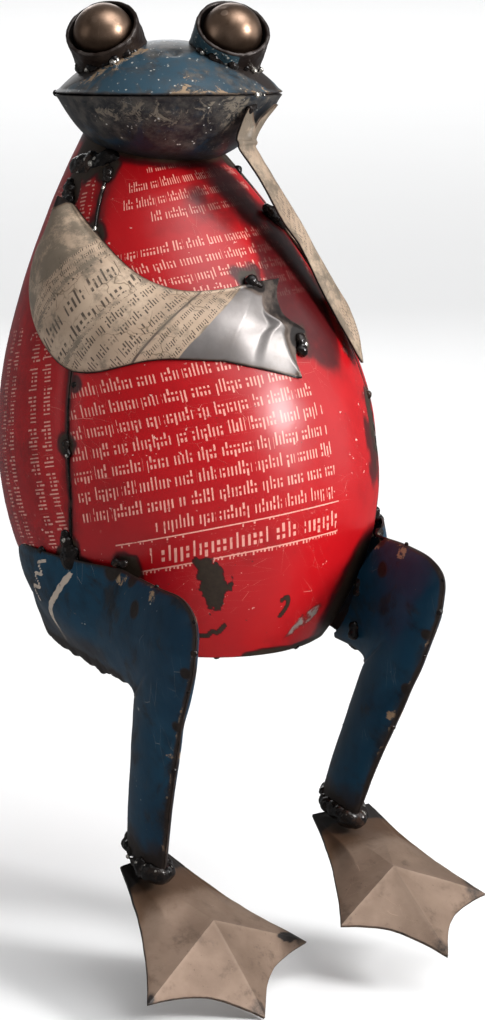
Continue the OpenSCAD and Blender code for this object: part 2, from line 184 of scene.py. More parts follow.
# ---------------------------------------------------------------- shader helper
class NT:
    def __init__(self, name):
        self.mat = bpy.data.materials.new(name)
        self.mat.use_nodes = True
        self.t = self.mat.node_tree
        self.t.nodes.clear()
        self.out = self.t.nodes.new("ShaderNodeOutputMaterial")
        self.b = self.t.nodes.new("ShaderNodeBsdfPrincipled")
        self.t.links.new(self.b.outputs[0], self.out.inputs[0])
        self.tc = self.t.nodes.new("ShaderNodeTexCoord")
    def link(self, a, b):
        if isinstance(a, (int, float)):
            b.default_value = a
        elif isinstance(a, (tuple, list)):
            b.default_value = tuple(a) + ((1.0,) if len(a) == 3 and len(b.default_value) == 4 else ())
        else:
            self.t.links.new(a, b)
    def node(self, kind, *links, **kw):
        """a new node: links go to its inputs in order, kw are its settings"""
        n = self.t.nodes.new(kind)
        for k, v in kw.items():
            setattr(n, k, v)
        for i, a in enumerate(links):
            self.link(a, n.inputs[i])
        return n
    def constants(self, n, **values):
        for k, v in values.items():
            n.inputs[k.replace("_", " ")].default_value = v
        return n
    @property
    def obj(self):
        return self.tc.outputs["Object"]
    def mapping(self, vec, scale=(1, 1, 1), loc=(0, 0, 0), rot=(0, 0, 0)):
        n = self.node("ShaderNodeMapping", vec)
        return self.constants(n, Scale=scale, Location=loc, Rotation=rot).outputs[0]
    def noise(self, scale, detail=4, rough=0.55, vec=None, dist=0.0):
        n = self.node("ShaderNodeTexNoise", vec or self.obj)
        return self.constants(n, Scale=scale, Detail=detail, Roughness=rough, Distortion=dist).outputs[0]
    def voronoi(self, scale, feature="F1", vec=None):
        n = self.node("ShaderNodeTexVoronoi", vec or self.obj, feature=feature)
        return self.constants(n, Scale=scale).outputs[0]
    def white(self, vec):
        return self.node("ShaderNodeTexWhiteNoise", vec, noise_dimensions="2D").outputs["Value"]
    def math(self, op, a, b=0.0, c=0.0):
        return self.node("ShaderNodeMath", a, b, c, operation=op).outputs[0]
    def step(self, v, lo, hi):
        return self.node("ShaderNodeMapRange", v, lo, hi, 0, 1, interpolation_type="SMOOTHSTEP").outputs[0]
    def add(self, a, b):
        return self.math("ADD", a, b)
    def sub(self, a, b):
        return self.math("SUBTRACT", a, b)
    def jitter(self, value, noise, amount):
        """value moved up and down by a noise that is centred on 0.5"""
        return self.add(value, self.mul(self.sub(noise, 0.5), amount))
    def band(self, v, a, b, c, d):
        """rises from 0 to 1 between a and b, and falls back between c and d"""
        return self.mul(self.step(v, a, b), self.inv(self.step(v, c, d)))
    def fine_lines(self, scale, width, patches, **where):
        """thin lines along cell borders, only inside the patches"""
        cells = self.voronoi(scale, "DISTANCE_TO_EDGE", **where)
        return self.mul(self.inv(self.step(cells, 0.0, width)), patches)
    def warp(self, vec, source, scale, amount):
        """vec pushed about by a coloured noise that is read at source"""
        n = self.constants(self.node("ShaderNodeTexNoise", source), Scale=scale)
        push = self.node("ShaderNodeVectorMath", n.outputs["Color"], operation="SCALE")
        self.constants(push, Scale=amount)
        return self.node("ShaderNodeVectorMath", vec, push.outputs[0], operation="ADD").outputs[0]
    def mul(self, *a):
        return functools.reduce(lambda r, x: self.math("MULTIPLY", r, x), a)
    def mx(self, a, b):
        return self.math("MAXIMUM", a, b)
    def inv(self, a):
        return self.sub(1.0, a)
    def mix(self, f, a, b):
        n = self.node("ShaderNodeMix", f, data_type="RGBA")
        self.link(a, n.inputs[6])
        self.link(b, n.inputs[7])
        return n.outputs[2]
    def mixf(self, f, a, b):
        n = self.node("ShaderNodeMix", f, data_type="FLOAT")
        self.link(a, n.inputs[2])
        self.link(b, n.inputs[3])
        return n.outputs[0]
    def mask(self):
        n = self.node("ShaderNodeVertexColor", layer_name="mask")
        return self.node("ShaderNodeSeparateColor", n.outputs[0]).outputs[:3]
    def uv(self):
        n = self.node("ShaderNodeUVMap", uv_map="print")
        return self.node("ShaderNodeSeparateXYZ", n.outputs[0]).outputs[:2]
    def xy(self, a, b):
        return self.node("ShaderNodeCombineXYZ", a, b).outputs[0]
    def bump(self, h, strength, dist):
        n = self.node("ShaderNodeBump")
        self.link(h, n.inputs["Height"])
        return self.constants(n, Strength=strength, Distance=dist).outputs[0]
    def done(self, color, rough, metal, normal, spec):
        self.link(color, self.b.inputs["Base Color"])
        self.link(rough, self.b.inputs["Roughness"])
        self.link(metal, self.b.inputs["Metallic"])
        self.link(normal, self.b.inputs["Normal"])
        self.b.inputs["Coat Weight"].default_value = 0.0
        self.b.inputs["Specular IOR Level"].default_value = spec
        return self.mat

def print_rows(t, u, v, pitch, cell, seed, lo=0.18, hi=0.70, gap=0.15, words=7.0):
    """rows of short upright bars in groups, standing for print

    u runs along the row and v across it, in millimetres"""
    r = t.math("DIVIDE", v, pitch)
    row = t.math("FLOOR", r)
    fr = t.math("FRACT", r)
    uu = t.add(u, t.math("MULTIPLY", row, 37.7 + seed))
    wu = t.math("DIVIDE", uu, cell * words)
    wi = t.math("FLOOR", wu)
    wf = t.math("FRACT", wu)
    wr = t.math("MULTIPLY_ADD", t.white(t.xy(wi, t.add(row, 17.0))), 0.62, 0.05)
    word = t.inv(t.mul(t.step(wf, wr, t.add(wr, 0.012)),
        t.inv(t.step(wf, t.add(wr, gap), t.add(wr, gap + 0.012)))))
    c = t.math("DIVIDE", uu, cell)
    ci = t.math("FLOOR", c)
    fc = t.math("FRACT", c)
    w2 = t.white(t.xy(t.add(ci, 91.0), row))
    w3 = t.white(t.xy(ci, t.add(row, 53.0)))
    wide = t.mixf(w2, 0.34, 0.56)
    bar = t.mul(t.step(fc, 0.02, 0.12), t.inv(t.step(fc, wide, t.add(wide, 0.10))))
    top = t.math("MULTIPLY_ADD", t.math("GREATER_THAN", w3, 0.76), 0.19, hi)
    low = t.math("MULTIPLY_ADD", t.math("LESS_THAN", w3, 0.10), -0.14, lo)
    tall = t.mul(t.step(fr, low, t.add(low, 0.05)), t.inv(t.step(fr, t.sub(top, 0.05), top)))
    # some bars are broken in the middle
    brk = t.mul(t.math("GREATER_THAN", w2, 0.62), t.step(fr, lo + 0.20, lo + 0.24),
        t.inv(t.step(fr, lo + 0.33, lo + 0.37)))
    return t.mul(bar, tall, word, t.inv(brk))

# ---------------------------------------------------------------- the shared shape
# the body leans back and to its right; its axis starts DROP above the seat
LEAN, SIDE = math.radians(12), math.radians(4.1)
# the seat: radius of the flat middle and how slowly the dish round it rises
DROP, FLAT, DISH = 5.0, 32.0, 3.4
# body: widest radius and its height, neck radius and its height, radius at the foot of the gores
BR, BH, NR, NH, SR = 86.0, 86.0, 32.5, 222.0, 56.3
# thickness of the sheet
TIN = 0.8

def body_r(h):
    h = np.asarray(h, float)
    up = NR + (BR - NR) * (1 - np.clip((h - BH) / (NH - BH), 0, None) ** 1.74)
    lo = BR - (BR - SR) * np.clip((BH - h) / BH, 0, None) ** 2.48
    return np.where(h > BH, up, lo)

def leanp(x, y, z):
    z1 = -y * math.sin(LEAN) + z * math.cos(LEAN)
    return np.stack([x * math.cos(SIDE) - z1 * math.sin(SIDE), y * math.cos(LEAN) + z * math.sin(LEAN),
        x * math.sin(SIDE) + z1 * math.cos(SIDE) + DROP], -1)

def skin(th, h, d=0.0):
    th, h, d = np.broadcast_arrays(np.asarray(th, float), np.asarray(h, float), np.asarray(d, float))
    s = body_r(h + 0.5) - body_r(h - 0.5)
    k = 1 / np.sqrt(1 + s * s)
    rr = body_r(h) + d * k
    t = np.radians(th)
    return leanp(rr * np.sin(t), -rr * np.cos(t), h - d * s * k)

# the head: place of the mouth, turn and nod, then rim radius, depth of the jaw and height of the dome
HEAD_X, HEAD_BACK, MOUTH_Z, TURN, NOD = -9.5, 28.0, 249.0, 27.0, 2.5
RIM, JAWD, RISE = 51.0, 33.0, 23.5
JAW_R = (RIM ** 2 + JAWD ** 2) / (2 * JAWD)
DOME_R = (RIM ** 2 + RISE ** 2) / (2 * RISE)
JAW_C = JAW_R - JAWD
DOME_C = 1 + RISE - DOME_R

def rx(a):
    c, s = math.cos(math.radians(a)), math.sin(math.radians(a))
    return np.array([[1, 0, 0], [0, c, -s], [0, s, c]])
def rz(a):
    c, s = math.cos(math.radians(a)), math.sin(math.radians(a))
    return np.array([[c, -s, 0], [s, c, 0], [0, 0, 1]])

HEAD_M = rz(-TURN) @ rx(-NOD)
HEAD_T = np.array([HEAD_X, HEAD_BACK, MOUTH_Z])
def head_pt(P):
    return P @ HEAD_M.T + HEAD_T
def eye_mat(s):
    M1 = rz(20 * s) @ rx(44.0)
    t1 = np.array([s * 29.3, -17, MOUTH_Z + 30.4])
    M = rz(-TURN) @ M1
    t = rz(-TURN) @ t1 + np.array([HEAD_X, HEAD_BACK, 0])
    return M, t
JAW_W = head_pt(np.array([0, 0, JAW_C]))
DOME_W = head_pt(np.array([0, 0, DOME_C]))

def bisect(f, a, b, n=34):
    a = np.array(a, float)
    b = np.array(b, float)
    fa = f(a)
    for _ in range(n):
        m = (a + b) / 2
        fm = f(m)
        same = np.sign(fm) == np.sign(fa)
        a = np.where(same, m, a)
        b = np.where(same, b, m)
    return (a + b) / 2

def dish_z(r):
    return np.maximum((r - FLAT) / DISH, 0)

def gore_low(th):
    def f(h):
        p = skin(th, h)
        return p[..., 2] - dish_z(np.hypot(p[..., 0], p[..., 1]))
    return bisect(f, np.full(th.shape, -14.0), np.full(th.shape, 45.0))

def gore_high(th):
    def f(h):
        return np.linalg.norm(skin(th, h) - JAW_W, axis=-1) - (JAW_R + 0.1)
    return bisect(f, np.full(th.shape, 190.0), np.full(th.shape, 236.0))

def seam_right(h):
    return np.interp(h, [-14, 39, 73, 95, 116, 158, 184, 200, 215, 236], [-72, -70, -63.2, -61.5, -60,
        -55.5, -52.6, -51.6, -48, -46])
def seam_left(h):
    return np.interp(h, [-14, 236], [60, 56])
def seam_back(h):
    return np.full(np.shape(h), 180.0)

def spot(th, h, t0, h0, rt, rh, seed=1, rough=0.35, soft=0.3):
    r = np.radians(th - t0) * body_r(h)
    n = vnoise(np.stack([r, h, 0 * h], -1), 7.0, seed, 3)
    return 1 - sstep(1 - soft, 1 + soft, np.hypot(r / rt, (h - h0) / rh) + rough * n)

# ---------------------------------------------------------------- materials
def red_enamel():
    t = NT("red enamel over drum tin")
    soot, wear, prt = t.mask()
    u, v = t.uv()
    n1 = t.noise(9, 5, 0.55)
    n2 = t.noise(60, 4, 0.6)
    n3 = t.noise(420, 3, 0.6)
    base = t.mix(t.step(n1, 0.35, 0.68), (0.33, 0.0022, 0.0050), (0.43, 0.0045, 0.0075))
    base = t.mix(t.mul(t.step(n2, 0.52, 0.75), 0.40), base, (0.22, 0.002, 0.004))
    # print in rows
    lower = print_rows(t, u, v, 9.0, 1.75, 0.0, lo=0.24, hi=0.72)
    upper = print_rows(t, u, t.add(v, 2.8), 7.3, 1.5, 11.0, lo=0.24, hi=0.70)
    tall = print_rows(t, u, t.sub(v, 41.6), 9.0, 2.7, 5.0, lo=0.14, hi=0.74, gap=0.09, words=14.0)
    isup = t.step(v, 138.0, 139.0)
    ishead = t.band(v, 40.2, 40.6, 51.0, 51.4)
    pr = t.mixf(isup, lower, upper)
    pr = t.mixf(ishead, pr, tall)
    rule = t.mx(t.band(v, 39.9, 40.05, 40.5, 40.65), t.band(v, 53.0, 53.15, 53.6, 53.75))
    pr = t.math("MAXIMUM", t.mul(pr, t.step(prt, 0.35, 0.65)), t.mul(rule, t.step(prt, 1.35, 1.65)))
    rub = t.mixf(t.step(t.noise(220, 3, 0.7), 0.58, 0.70), 1.0, 0.45)
    pr = t.mul(pr, rub)
    col = t.mix(t.mul(pr, 0.80), base, (0.74, 0.36, 0.29))
    # fine scratches
    sv = t.mapping(t.obj, rot=(0.5, 0.4, 0.3))
    scr = t.fine_lines(55, 0.0026, t.step(t.noise(24, 2, 0.5), 0.54, 0.62),
        vec=t.mapping(sv, scale=(3.5, 0.35, 1.2)))
    scr2 = t.fine_lines(70, 0.0026, t.step(t.noise(19, 2, 0.5, vec=t.mapping(t.obj, loc=(3, 1, 2))), 0.56,
        0.64), vec=t.mapping(t.obj, scale=(0.4, 1.4, 3.2), rot=(0.2, 0.9, 1.2)))
    scr = t.mx(scr, scr2)
    col = t.mix(t.mul(scr, 0.7), col, (0.72, 0.33, 0.27))
    # wear to grey tin with a dark rim
    wn = t.jitter(wear, t.noise(150, 5, 0.65), 0.9)
    w = t.step(wn, 0.50, 0.62)
    wr = t.mul(t.step(wn, 0.40, 0.50), t.inv(w))
    grey = t.mix(t.noise(300, 3, 0.6), (0.24, 0.20, 0.18), (0.55, 0.48, 0.43))
    col = t.mix(t.mul(wr, 0.6), col, (0.06, 0.012, 0.010))
    col = t.mix(w, col, grey)
    # chips scattered over the paint
    nick = t.mul(t.step(t.noise(430, 2, 0.5, vec=t.mapping(t.obj, loc=(4, 7, 1))), 0.70, 0.73),
        t.step(t.noise(30, 3, 0.6, vec=t.mapping(t.obj, loc=(6, 2, 9))), 0.48, 0.60))
    col = t.mix(t.mul(nick, 0.8), col, (0.72, 0.42, 0.36))
    ch = t.step(t.noise(520, 2, 0.5), 0.735, 0.76)
    col = t.mix(t.mul(ch, 0.75), col, (0.10, 0.02, 0.015))
    # soot, and the painted shade and painted shadow on the body, as a thin brown haze that turns black
    sn = t.jitter(soot, t.noise(95, 5, 0.62), 0.42)
    haze = t.step(sn, 0.06, 0.50)
    black = t.step(sn, 0.54, 0.82)
    col = t.mix(t.mul(haze, 0.92), col, (0.034, 0.003, 0.004))
    col = t.mix(black, col, t.mix(n3, (0.013, 0.008, 0.005), (0.052, 0.033, 0.020)))
    r = t.mixf(n2, 0.27, 0.37)
    r = t.mixf(w, r, 0.48)
    r = t.mixf(black, r, 0.45)
    r = t.mixf(t.mul(pr, 0.6), r, 0.38)
    r = t.mixf(scr, r, 0.6)
    hgt = t.add(t.mul(n3, 0.10), t.mul(t.noise(26, 3, 0.5), 0.8))
    hgt = t.add(hgt, t.mul(w, -0.10))
    hgt = t.add(hgt, t.mul(black, t.noise(260, 4, 0.7), 0.25))
    nb = t.bump(hgt, 0.22, 0.0012)
    return t.done(col, r, t.mul(w, 0.5), nb, spec=0.40)

def blue_enamel(name, tint, dirt, speck, seed, tanc=((0.26, 0.13, 0.05), (0.46, 0.35, 0.23)),
    grime=((0.014, 0.013, 0.014), (0.085, 0.070, 0.056)), gsize=34, line=False, spec=0.16):
    t = NT(name)
    soot, wear, ex = t.mask()
    loc = (seed * 1.7, seed * 0.9, seed * 2.3)
    o = t.mapping(t.obj, loc=loc)
    n1 = t.noise(14, 5, 0.6, vec=o)
    n2 = t.noise(70, 5, 0.65, vec=o)
    n3 = t.noise(380, 3, 0.6, vec=o)
    a, b, c = tint
    base = t.mix(t.step(n1, 0.35, 0.65), a, b)
    base = t.mix(t.mul(t.step(n2, 0.50, 0.72), 0.55), base, c)
    # brown and grey grime in cloudy patches
    gn = t.add(t.noise(gsize, 8, 0.74, vec=o, dist=0.6), t.math("MULTIPLY", wear, 0.20))
    g = t.step(gn, 0.56 - dirt, 0.70 - dirt)
    col = t.mix(t.mul(g, 0.80), base, t.mix(t.step(t.noise(150, 6, 0.7, vec=o), 0.35, 0.70), grime[0],
        grime[1]))
    tan = t.step(t.add(t.noise(130, 8, 0.78, vec=o, dist=0.8), t.math("MULTIPLY", ex, 0.20)), 0.655, 0.70)
    col = t.mix(t.mul(tan, 0.85), col, t.mix(t.noise(60, 4, 0.6, vec=o), tanc[0], tanc[1]))
    # white specks where the paint has chipped to the primer
    vo = t.mapping(o, rot=(0.3, 0.2, 0.7))
    sp = t.voronoi(430, "F1", vec=t.warp(vo, vo, 1400, 0.0011))
    some = t.step(t.noise(310, 1, 0.5, vec=vo), 0.50, 0.56)
    spk = t.mul(t.inv(t.step(sp, 0.13, 0.24)), some,
        t.step(t.noise(60, 3, 0.6, vec=t.mapping(o, loc=(5, 2, 1))), speck, speck + 0.05))
    col = t.mix(t.mul(spk, 0.85), col, (0.55, 0.54, 0.49))
    if line:
        lu, _ = t.uv()
        ln = t.mul(t.step(lu, 0.35, 0.65), t.step(t.noise(260, 4, 0.7, vec=o), 0.30, 0.46))
        col = t.mix(t.mul(ln, 0.85), col, (0.50, 0.41, 0.33))
    scr = t.fine_lines(60, 0.003, t.step(t.noise(28, 2, 0.5, vec=o), 0.58, 0.64),
        vec=t.mapping(o, scale=(2.6, 2.6, 0.4), rot=(0.3, 0.5, 0)))
    col = t.mix(t.mul(scr, 0.6), col, (0.50, 0.47, 0.42))
    sn = t.jitter(soot, t.noise(120, 5, 0.65, vec=o), 0.55)
    haze = t.step(sn, 0.10, 0.60)
    black = t.step(sn, 0.55, 0.80)
    col = t.mix(t.mul(haze, 0.70), col, (0.020, 0.013, 0.012))
    col = t.mix(black, col, t.mix(n3, (0.006, 0.005, 0.005), (0.030, 0.020, 0.016)))
    r = t.mixf(n2, 0.26, 0.40)
    r = t.mixf(g, r, 0.40)
    r = t.mixf(tan, r, 0.6)
    r = t.mixf(black, r, 0.42)
    h = t.add(t.mul(n3, 0.16), t.mul(t.noise(30, 3, 0.5, vec=o), 0.7))
    h = t.add(h, t.mul(g, -0.08))
    h = t.add(h, t.mul(spk, -0.10))
    h = t.add(h, t.mul(black, t.noise(300, 4, 0.7, vec=o), 0.3))
    return t.done(col, r, t.mul(g, 0.15), t.bump(h, 0.25, 0.0012), spec=spec)

def label_tin(name, shade_dim=1.0):
    """cream label print on the near part of each arm, bare steel towards the hand

    mask G is the bare part; B says which print there is, from 0 for none to 3 for the largest"""
    t = NT(name)
    # the tone factor darkens the cream and the grey mottling: painted shade for the left arm's copy
    tone = lambda *c: tuple(x * shade_dim for x in c)
    soot, bare, prt = t.mask()
    u, v = t.uv()
    n1 = t.noise(32, 5, 0.6)
    n2 = t.noise(120, 5, 0.65)
    n3 = t.noise(420, 3, 0.6)
    cream = t.mix(t.step(n1, 0.32, 0.70), tone(0.37, 0.268, 0.190), tone(0.53, 0.400, 0.292))
    stain = t.step(t.noise(48, 6, 0.7, vec=t.mapping(t.obj, loc=(2, 5, 1))), 0.56, 0.76)
    cream = t.mix(t.mul(stain, 0.75), cream, (0.20, 0.145, 0.095))
    # crazing
    crz = t.fine_lines(110, 0.035, t.step(t.noise(50, 3, 0.6), 0.47, 0.60), vec=t.warp(t.obj, t.obj, 140,
        0.006))
    col = t.mix(t.mul(crz, 0.75), cream, (0.12, 0.085, 0.05))
    big = print_rows(t, u, t.add(v, 3.0), 11.0, 2.5, 3.0, lo=0.20, hi=0.72, gap=0.13)
    small = print_rows(t, u, t.add(v, 12.4), 3.8, 1.05, 21.0, lo=0.22, hi=0.72)
    mid = print_rows(t, u, t.sub(v, 1.2), 6.4, 1.4, 33.0, lo=0.22, hi=0.70)
    pr = t.mixf(t.step(prt, 1.45, 1.55), small, mid)
    pr = t.mixf(t.step(prt, 2.45, 2.55), pr, big)
    pr = t.mul(pr, t.step(prt, 0.40, 0.55))
    rub = t.mixf(t.step(t.noise(240, 3, 0.7), 0.52, 0.68), 1.0, 0.40)
    col = t.mix(t.mul(pr, rub, 0.90), col, (0.045, 0.032, 0.027))
    # the lone dark rule and the border beyond it are drawn from v
    rule = t.mul(t.step(v, -0.50, -0.30), t.inv(t.step(v, 0.30, 0.50)), t.step(prt, 0.15, 0.25))
    col = t.mix(t.mul(rule, 0.85), col, (0.05, 0.03, 0.03))
    # grey mottling
    mot = t.step(t.add(t.noise(60, 7, 0.76, vec=t.mapping(t.obj, loc=(1, 1, 7))),
        t.math("MULTIPLY", t.sub(1.0, t.math("MINIMUM", prt, 1.0)), 0.15)), 0.50, 0.68)
    col = t.mix(t.mul(mot, 0.8), col, t.mix(n2, tone(0.080, 0.068, 0.052), tone(0.195, 0.162, 0.122)))
    # bare steel
    steel = t.mix(t.step(n1, 0.3, 0.7), (0.19, 0.172, 0.165), (0.31, 0.287, 0.277))
    steel = t.mix(t.mul(t.step(n2, 0.5, 0.72), 0.5), steel, (0.20, 0.175, 0.16))
    bn = t.step(bare, 0.45, 0.55)
    col = t.mix(bn, col, steel)
    # dark worn edges and heat marks, and the painted shade on the far side of the right hand's middle ridge
    sn = t.jitter(soot, t.noise(130, 5, 0.65), 0.5)
    haze = t.step(sn, 0.10, 0.50)
    black = t.step(sn, 0.52, 0.74)
    col = t.mix(t.mul(haze, 0.7), col, (0.10, 0.062, 0.04))
    col = t.mix(black, col, (0.012, 0.009, 0.008))
    r = t.mixf(n2, 0.36, 0.55)
    r = t.mixf(bn, r, t.mixf(n2, 0.40, 0.54))
    r = t.mixf(black, r, 0.4)
    h = t.add(t.mul(n3, 0.12), t.mul(t.noise(40, 3, 0.5), 0.6))
    h = t.add(h, t.mul(crz, t.inv(bn), -0.35))
    return t.done(col, r, t.mul(bn, t.inv(black), 0.55), t.bump(h, 0.24, 0.0012), spec=0.25)

def bare_steel(name, lo, hi, metal, rlo, rhi, brown=(0.16, 0.095, 0.055), bumpd=0.30, seed=0.0, paint=False,
    spec=0.3):
    """mask R is soot, with painted shade inside the eye cups and low on the balls; G brown heat tint, which
    on the balls is partly painted shade; B bright rubbed metal, with painted highlights on the balls and
    along the foot ridges

    G over 1.5 is chipped blue paint left on the steel"""
    t = NT(name)
    soot, tint, shine = t.mask()
    o = t.mapping(t.obj, loc=(seed, seed * 2, seed * 3))
    n1 = t.noise(26, 5, 0.6, vec=o)
    n2 = t.noise(110, 6, 0.68, vec=o)
    n3 = t.noise(460, 3, 0.6, vec=o)
    col = t.mix(t.step(n1, 0.3, 0.7), lo, hi)
    dark = tuple(x * 0.40 for x in lo)
    col = t.mix(t.mul(t.step(n2, 0.52, 0.74), 0.55), col, dark)
    pit = t.step(t.noise(700, 2, 0.5, vec=o), 0.70, 0.76)
    col = t.mix(t.mul(pit, 0.55), col, dark)
    scr = t.fine_lines(75, 0.004, t.step(t.noise(40, 2, 0.5, vec=o), 0.52, 0.60),
        vec=t.mapping(o, scale=(0.5, 2.6, 1.5), rot=(0.2, 0.3, 0.5)))
    col = t.mix(t.mul(scr, 0.5), col, tuple(min(1, x * 1.5) for x in hi))
    # bright rubbed metal, and the painted highlights on the balls and along the foot ridges
    col = t.mix(t.mul(t.step(shine, 0.15, 0.9), 0.75), col, tuple(min(1.0, x * 1.35 + 0.06) for x in hi))
    # heat tint, partly painted shade towards the rim of the balls
    tn = t.jitter(tint, n2, 0.5)
    col = t.mix(t.mul(t.step(tn, 0.15, 0.85), 0.9), col, brown)
    if paint:
        pt = t.mul(t.step(tint, 1.2, 1.6), t.step(t.noise(170, 5, 0.7, vec=o), 0.34, 0.44))
        pc = t.mix(n2, (0.012, 0.034, 0.050), (0.035, 0.075, 0.095))
        pc = t.mix(t.step(t.noise(620, 2, 0.5, vec=o), 0.64, 0.68), pc, (0.50, 0.49, 0.44))
        col = t.mix(pt, col, pc)
    # soot, and the painted shade in the eye cups and on the balls
    sn = t.jitter(soot, t.noise(150, 6, 0.7, vec=o), 0.8)
    black = t.step(sn, 0.50, 0.72)
    haze = t.step(sn, 0.2, 0.6)
    col = t.mix(t.mul(haze, 0.5), col, (0.05, 0.035, 0.028))
    col = t.mix(black, col, (0.016, 0.013, 0.012))
    r = t.mixf(n2, rlo, rhi)
    r = t.mixf(t.mul(shine, 0.5), r, rlo * 0.8)
    r = t.mixf(black, r, 0.45)
    h = t.add(t.mul(n3, 0.16), t.mul(t.noise(34, 3, 0.5, vec=o), 0.6))
    h = t.add(h, t.mul(scr, -0.15))
    h = t.add(h, t.mul(pit, -0.12))
    met = t.mul(t.inv(black), metal)
    if paint:
        met = t.mul(met, t.inv(pt))
    return t.done(col, r, met, t.bump(h, bumpd, 0.0012), spec=spec)

def weld_metal():
    t = NT("black arc weld")
    shine = t.mask()[2]
    n1 = t.noise(180, 5, 0.6)
    n2 = t.noise(600, 4, 0.65)
    col = t.mix(t.step(n1, 0.38, 0.66), (0.005, 0.004, 0.004), (0.018, 0.013, 0.011))
    col = t.mix(t.mul(t.step(n2, 0.64, 0.74), 0.3), col, (0.07, 0.055, 0.045))
    col = t.mix(t.mul(t.step(t.noise(90, 3, 0.6), 0.56, 0.68), 0.35), col, (0.07, 0.032, 0.018))
    # pale spots where the shine mask is set: painted glints
    col = t.mix(t.step(shine, 0.4, 0.8), col, t.mix(n2, (0.42, 0.39, 0.35), (0.75, 0.71, 0.64)))
    r = t.mixf(n1, 0.10, 0.30)
    h = t.add(t.mul(n1, 0.7), t.mul(n2, 0.4))
    return t.done(col, r, t.mixf(t.step(shine, 0.4, 0.8), 0.25, 0.85), t.bump(h, 0.22, 0.0010), spec=0.35)

RED = red_enamel()
BLUE_HEAD = blue_enamel("blue enamel, head", ((0.018, 0.042, 0.062), (0.028, 0.066, 0.096),
    (0.046, 0.052, 0.056)), 0.055, 0.33, 1.0, grime=((0.022, 0.021, 0.022), (0.13, 0.112, 0.094)), gsize=52,
    spec=0.45)
BLUE_JAW = blue_enamel("blue enamel, jaw", ((0.008, 0.014, 0.023), (0.012, 0.034, 0.055),
    (0.020, 0.020, 0.023)), 0.05, 0.52, 2.0, tanc=((0.10, 0.085, 0.062), (0.24, 0.20, 0.155)),
    grime=((0.012, 0.010, 0.011), (0.090, 0.076, 0.062)), gsize=44, spec=0.34)
BLUE_LEG = blue_enamel("blue enamel, legs", ((0.0045, 0.026, 0.052), (0.006, 0.040, 0.075),
    (0.005, 0.014, 0.026)), -0.01, 0.62, 3.0, grime=((0.008, 0.010, 0.014), (0.032, 0.030, 0.030)),
    line=True, spec=0.16)
LABEL = label_tin("cream label tin, right arm")
# the left arm's label is the same tin darkened to 0.70: painted shade
LABEL_L = label_tin("cream label tin, left arm", 0.70)
FOOT = bare_steel("bare sheet steel", (0.142, 0.096, 0.069), (0.220, 0.155, 0.115), 0.30, 0.46, 0.62,
    brown=(0.070, 0.036, 0.019), spec=0.2)
SEAT = bare_steel("bare drum tin, inside face", (0.10, 0.085, 0.078), (0.20, 0.165, 0.14), 0.5, 0.40, 0.62,
    seed=4.0)
CUP = bare_steel("heat-browned cup steel", (0.014, 0.009, 0.008), (0.034, 0.023, 0.018), 0.25, 0.24, 0.40,
    brown=(0.013, 0.007, 0.005), bumpd=0.60, seed=7.0)
CUP_L = bare_steel("heat-browned cup steel with blue paint", (0.014, 0.009, 0.008), (0.034, 0.023, 0.018),
    0.25, 0.24, 0.40, brown=(0.013, 0.007, 0.005), bumpd=0.60, seed=8.0, paint=True)
EYE = bare_steel("bronze-brown ball steel", (0.20, 0.128, 0.088), (0.38, 0.258, 0.185), 0.92, 0.27, 0.40,
    brown=(0.062, 0.037, 0.024), bumpd=0.10, seed=11.0)
WELD = weld_metal()

# ---------------------------------------------------------------- body panels
def panel(name, sa, sb, nc, seed):
    nb = 230
    b = np.linspace(0, 1, nb)
    a = np.linspace(0, 1, nc)
    B, across = np.meshgrid(b, a, indexing="ij")
    ta = sa(np.array(0.0)), sa(np.array(222.0))
    tb = sb(np.array(0.0)), sb(np.array(222.0))
    h0 = gore_low(lerp(ta[0], tb[0], a))
    h1 = gore_high(lerp(ta[1], tb[1], a))
    H = lerp(h0[None, :], h1[None, :], B)
    T = lerp(sa(H), sb(H), across)
    r = body_r(H)
    # distance to the two seam edges in millimetres
    da = np.abs(np.radians(T - sa(H)) * r)
    db = np.abs(np.radians(T - sb(H)) * r)
    gap = 0.30
    T = T + np.degrees(gap / r) * fade(0, 6, da) - np.degrees(gap / r) * fade(0, 6, db)
    ds = np.minimum(da, db)
    P0 = skin(T, H)
    d = 0.55 * vnoise(P0, 62, seed, 2) + 0.22 * vnoise(P0, 24, seed + 5, 2) + 0.07 * vnoise(P0, 9, seed + 9,
        2)
    d = d - 0.55 * np.exp(-(ds / 2.6) ** 2) + 0.35 * np.exp(-((ds - 6) / 5) ** 2)
    # the small bead rolled along the cut edge, and pulls of the tacks
    for (t0, hh, rr, dd) in DENTS:
        e = np.hypot(np.radians(T - t0) * r, H - hh) / rr
        d = d + dd * np.exp(-e ** 2)
    d = d - 0.3 * fade(0, 7, H - h0[None, :])
    d = np.clip(d, -1.4, 1.0)
    P = skin(T, H, d - 0.15)
    m = np.zeros(P.shape)
    m[..., 0] = body_soot_and_shade(T, H, ds, h1[None, :])
    m[..., 1] = body_wear(T, H, ds, H - h0[None, :])
    m[..., 2] = body_print(T, H, name)
    if name == "right_body_panel":
        uv = np.stack([H, -np.radians(T) * 78 + 140.0 - 400.0], -1)
    elif name == "left_body_panel":
        uv = np.stack([-np.radians(T) * 78, H - 500.0], -1)
    else:
        uv = np.stack([-np.radians(T) * np.maximum(r, 62), H - 0.04 * (T - 20)], -1)
    return sheet(name + ".sheet", P, TIN, 1, RED, name, m, uv)

# dents: angle, height, radius, depth
DENTS = [(-50, 150, 14, 0.4), (10, 60, 30, 0.35), (30, 120, 16, -0.5), (-20, 20, 22, -0.4),
    (-100, 80, 24, 0.5), (-85, 190, 12, -0.6), (-74, 205, 6, -0.8), (60, 75, 9, -0.7), (95, 60, 20, 0.4),
    (150, 120, 26, 0.5), (-140, 100, 24, -0.4), (-57, 184, 6, -0.5), (-62, 95, 6, -0.5), (-69, 44, 8, -0.7)]

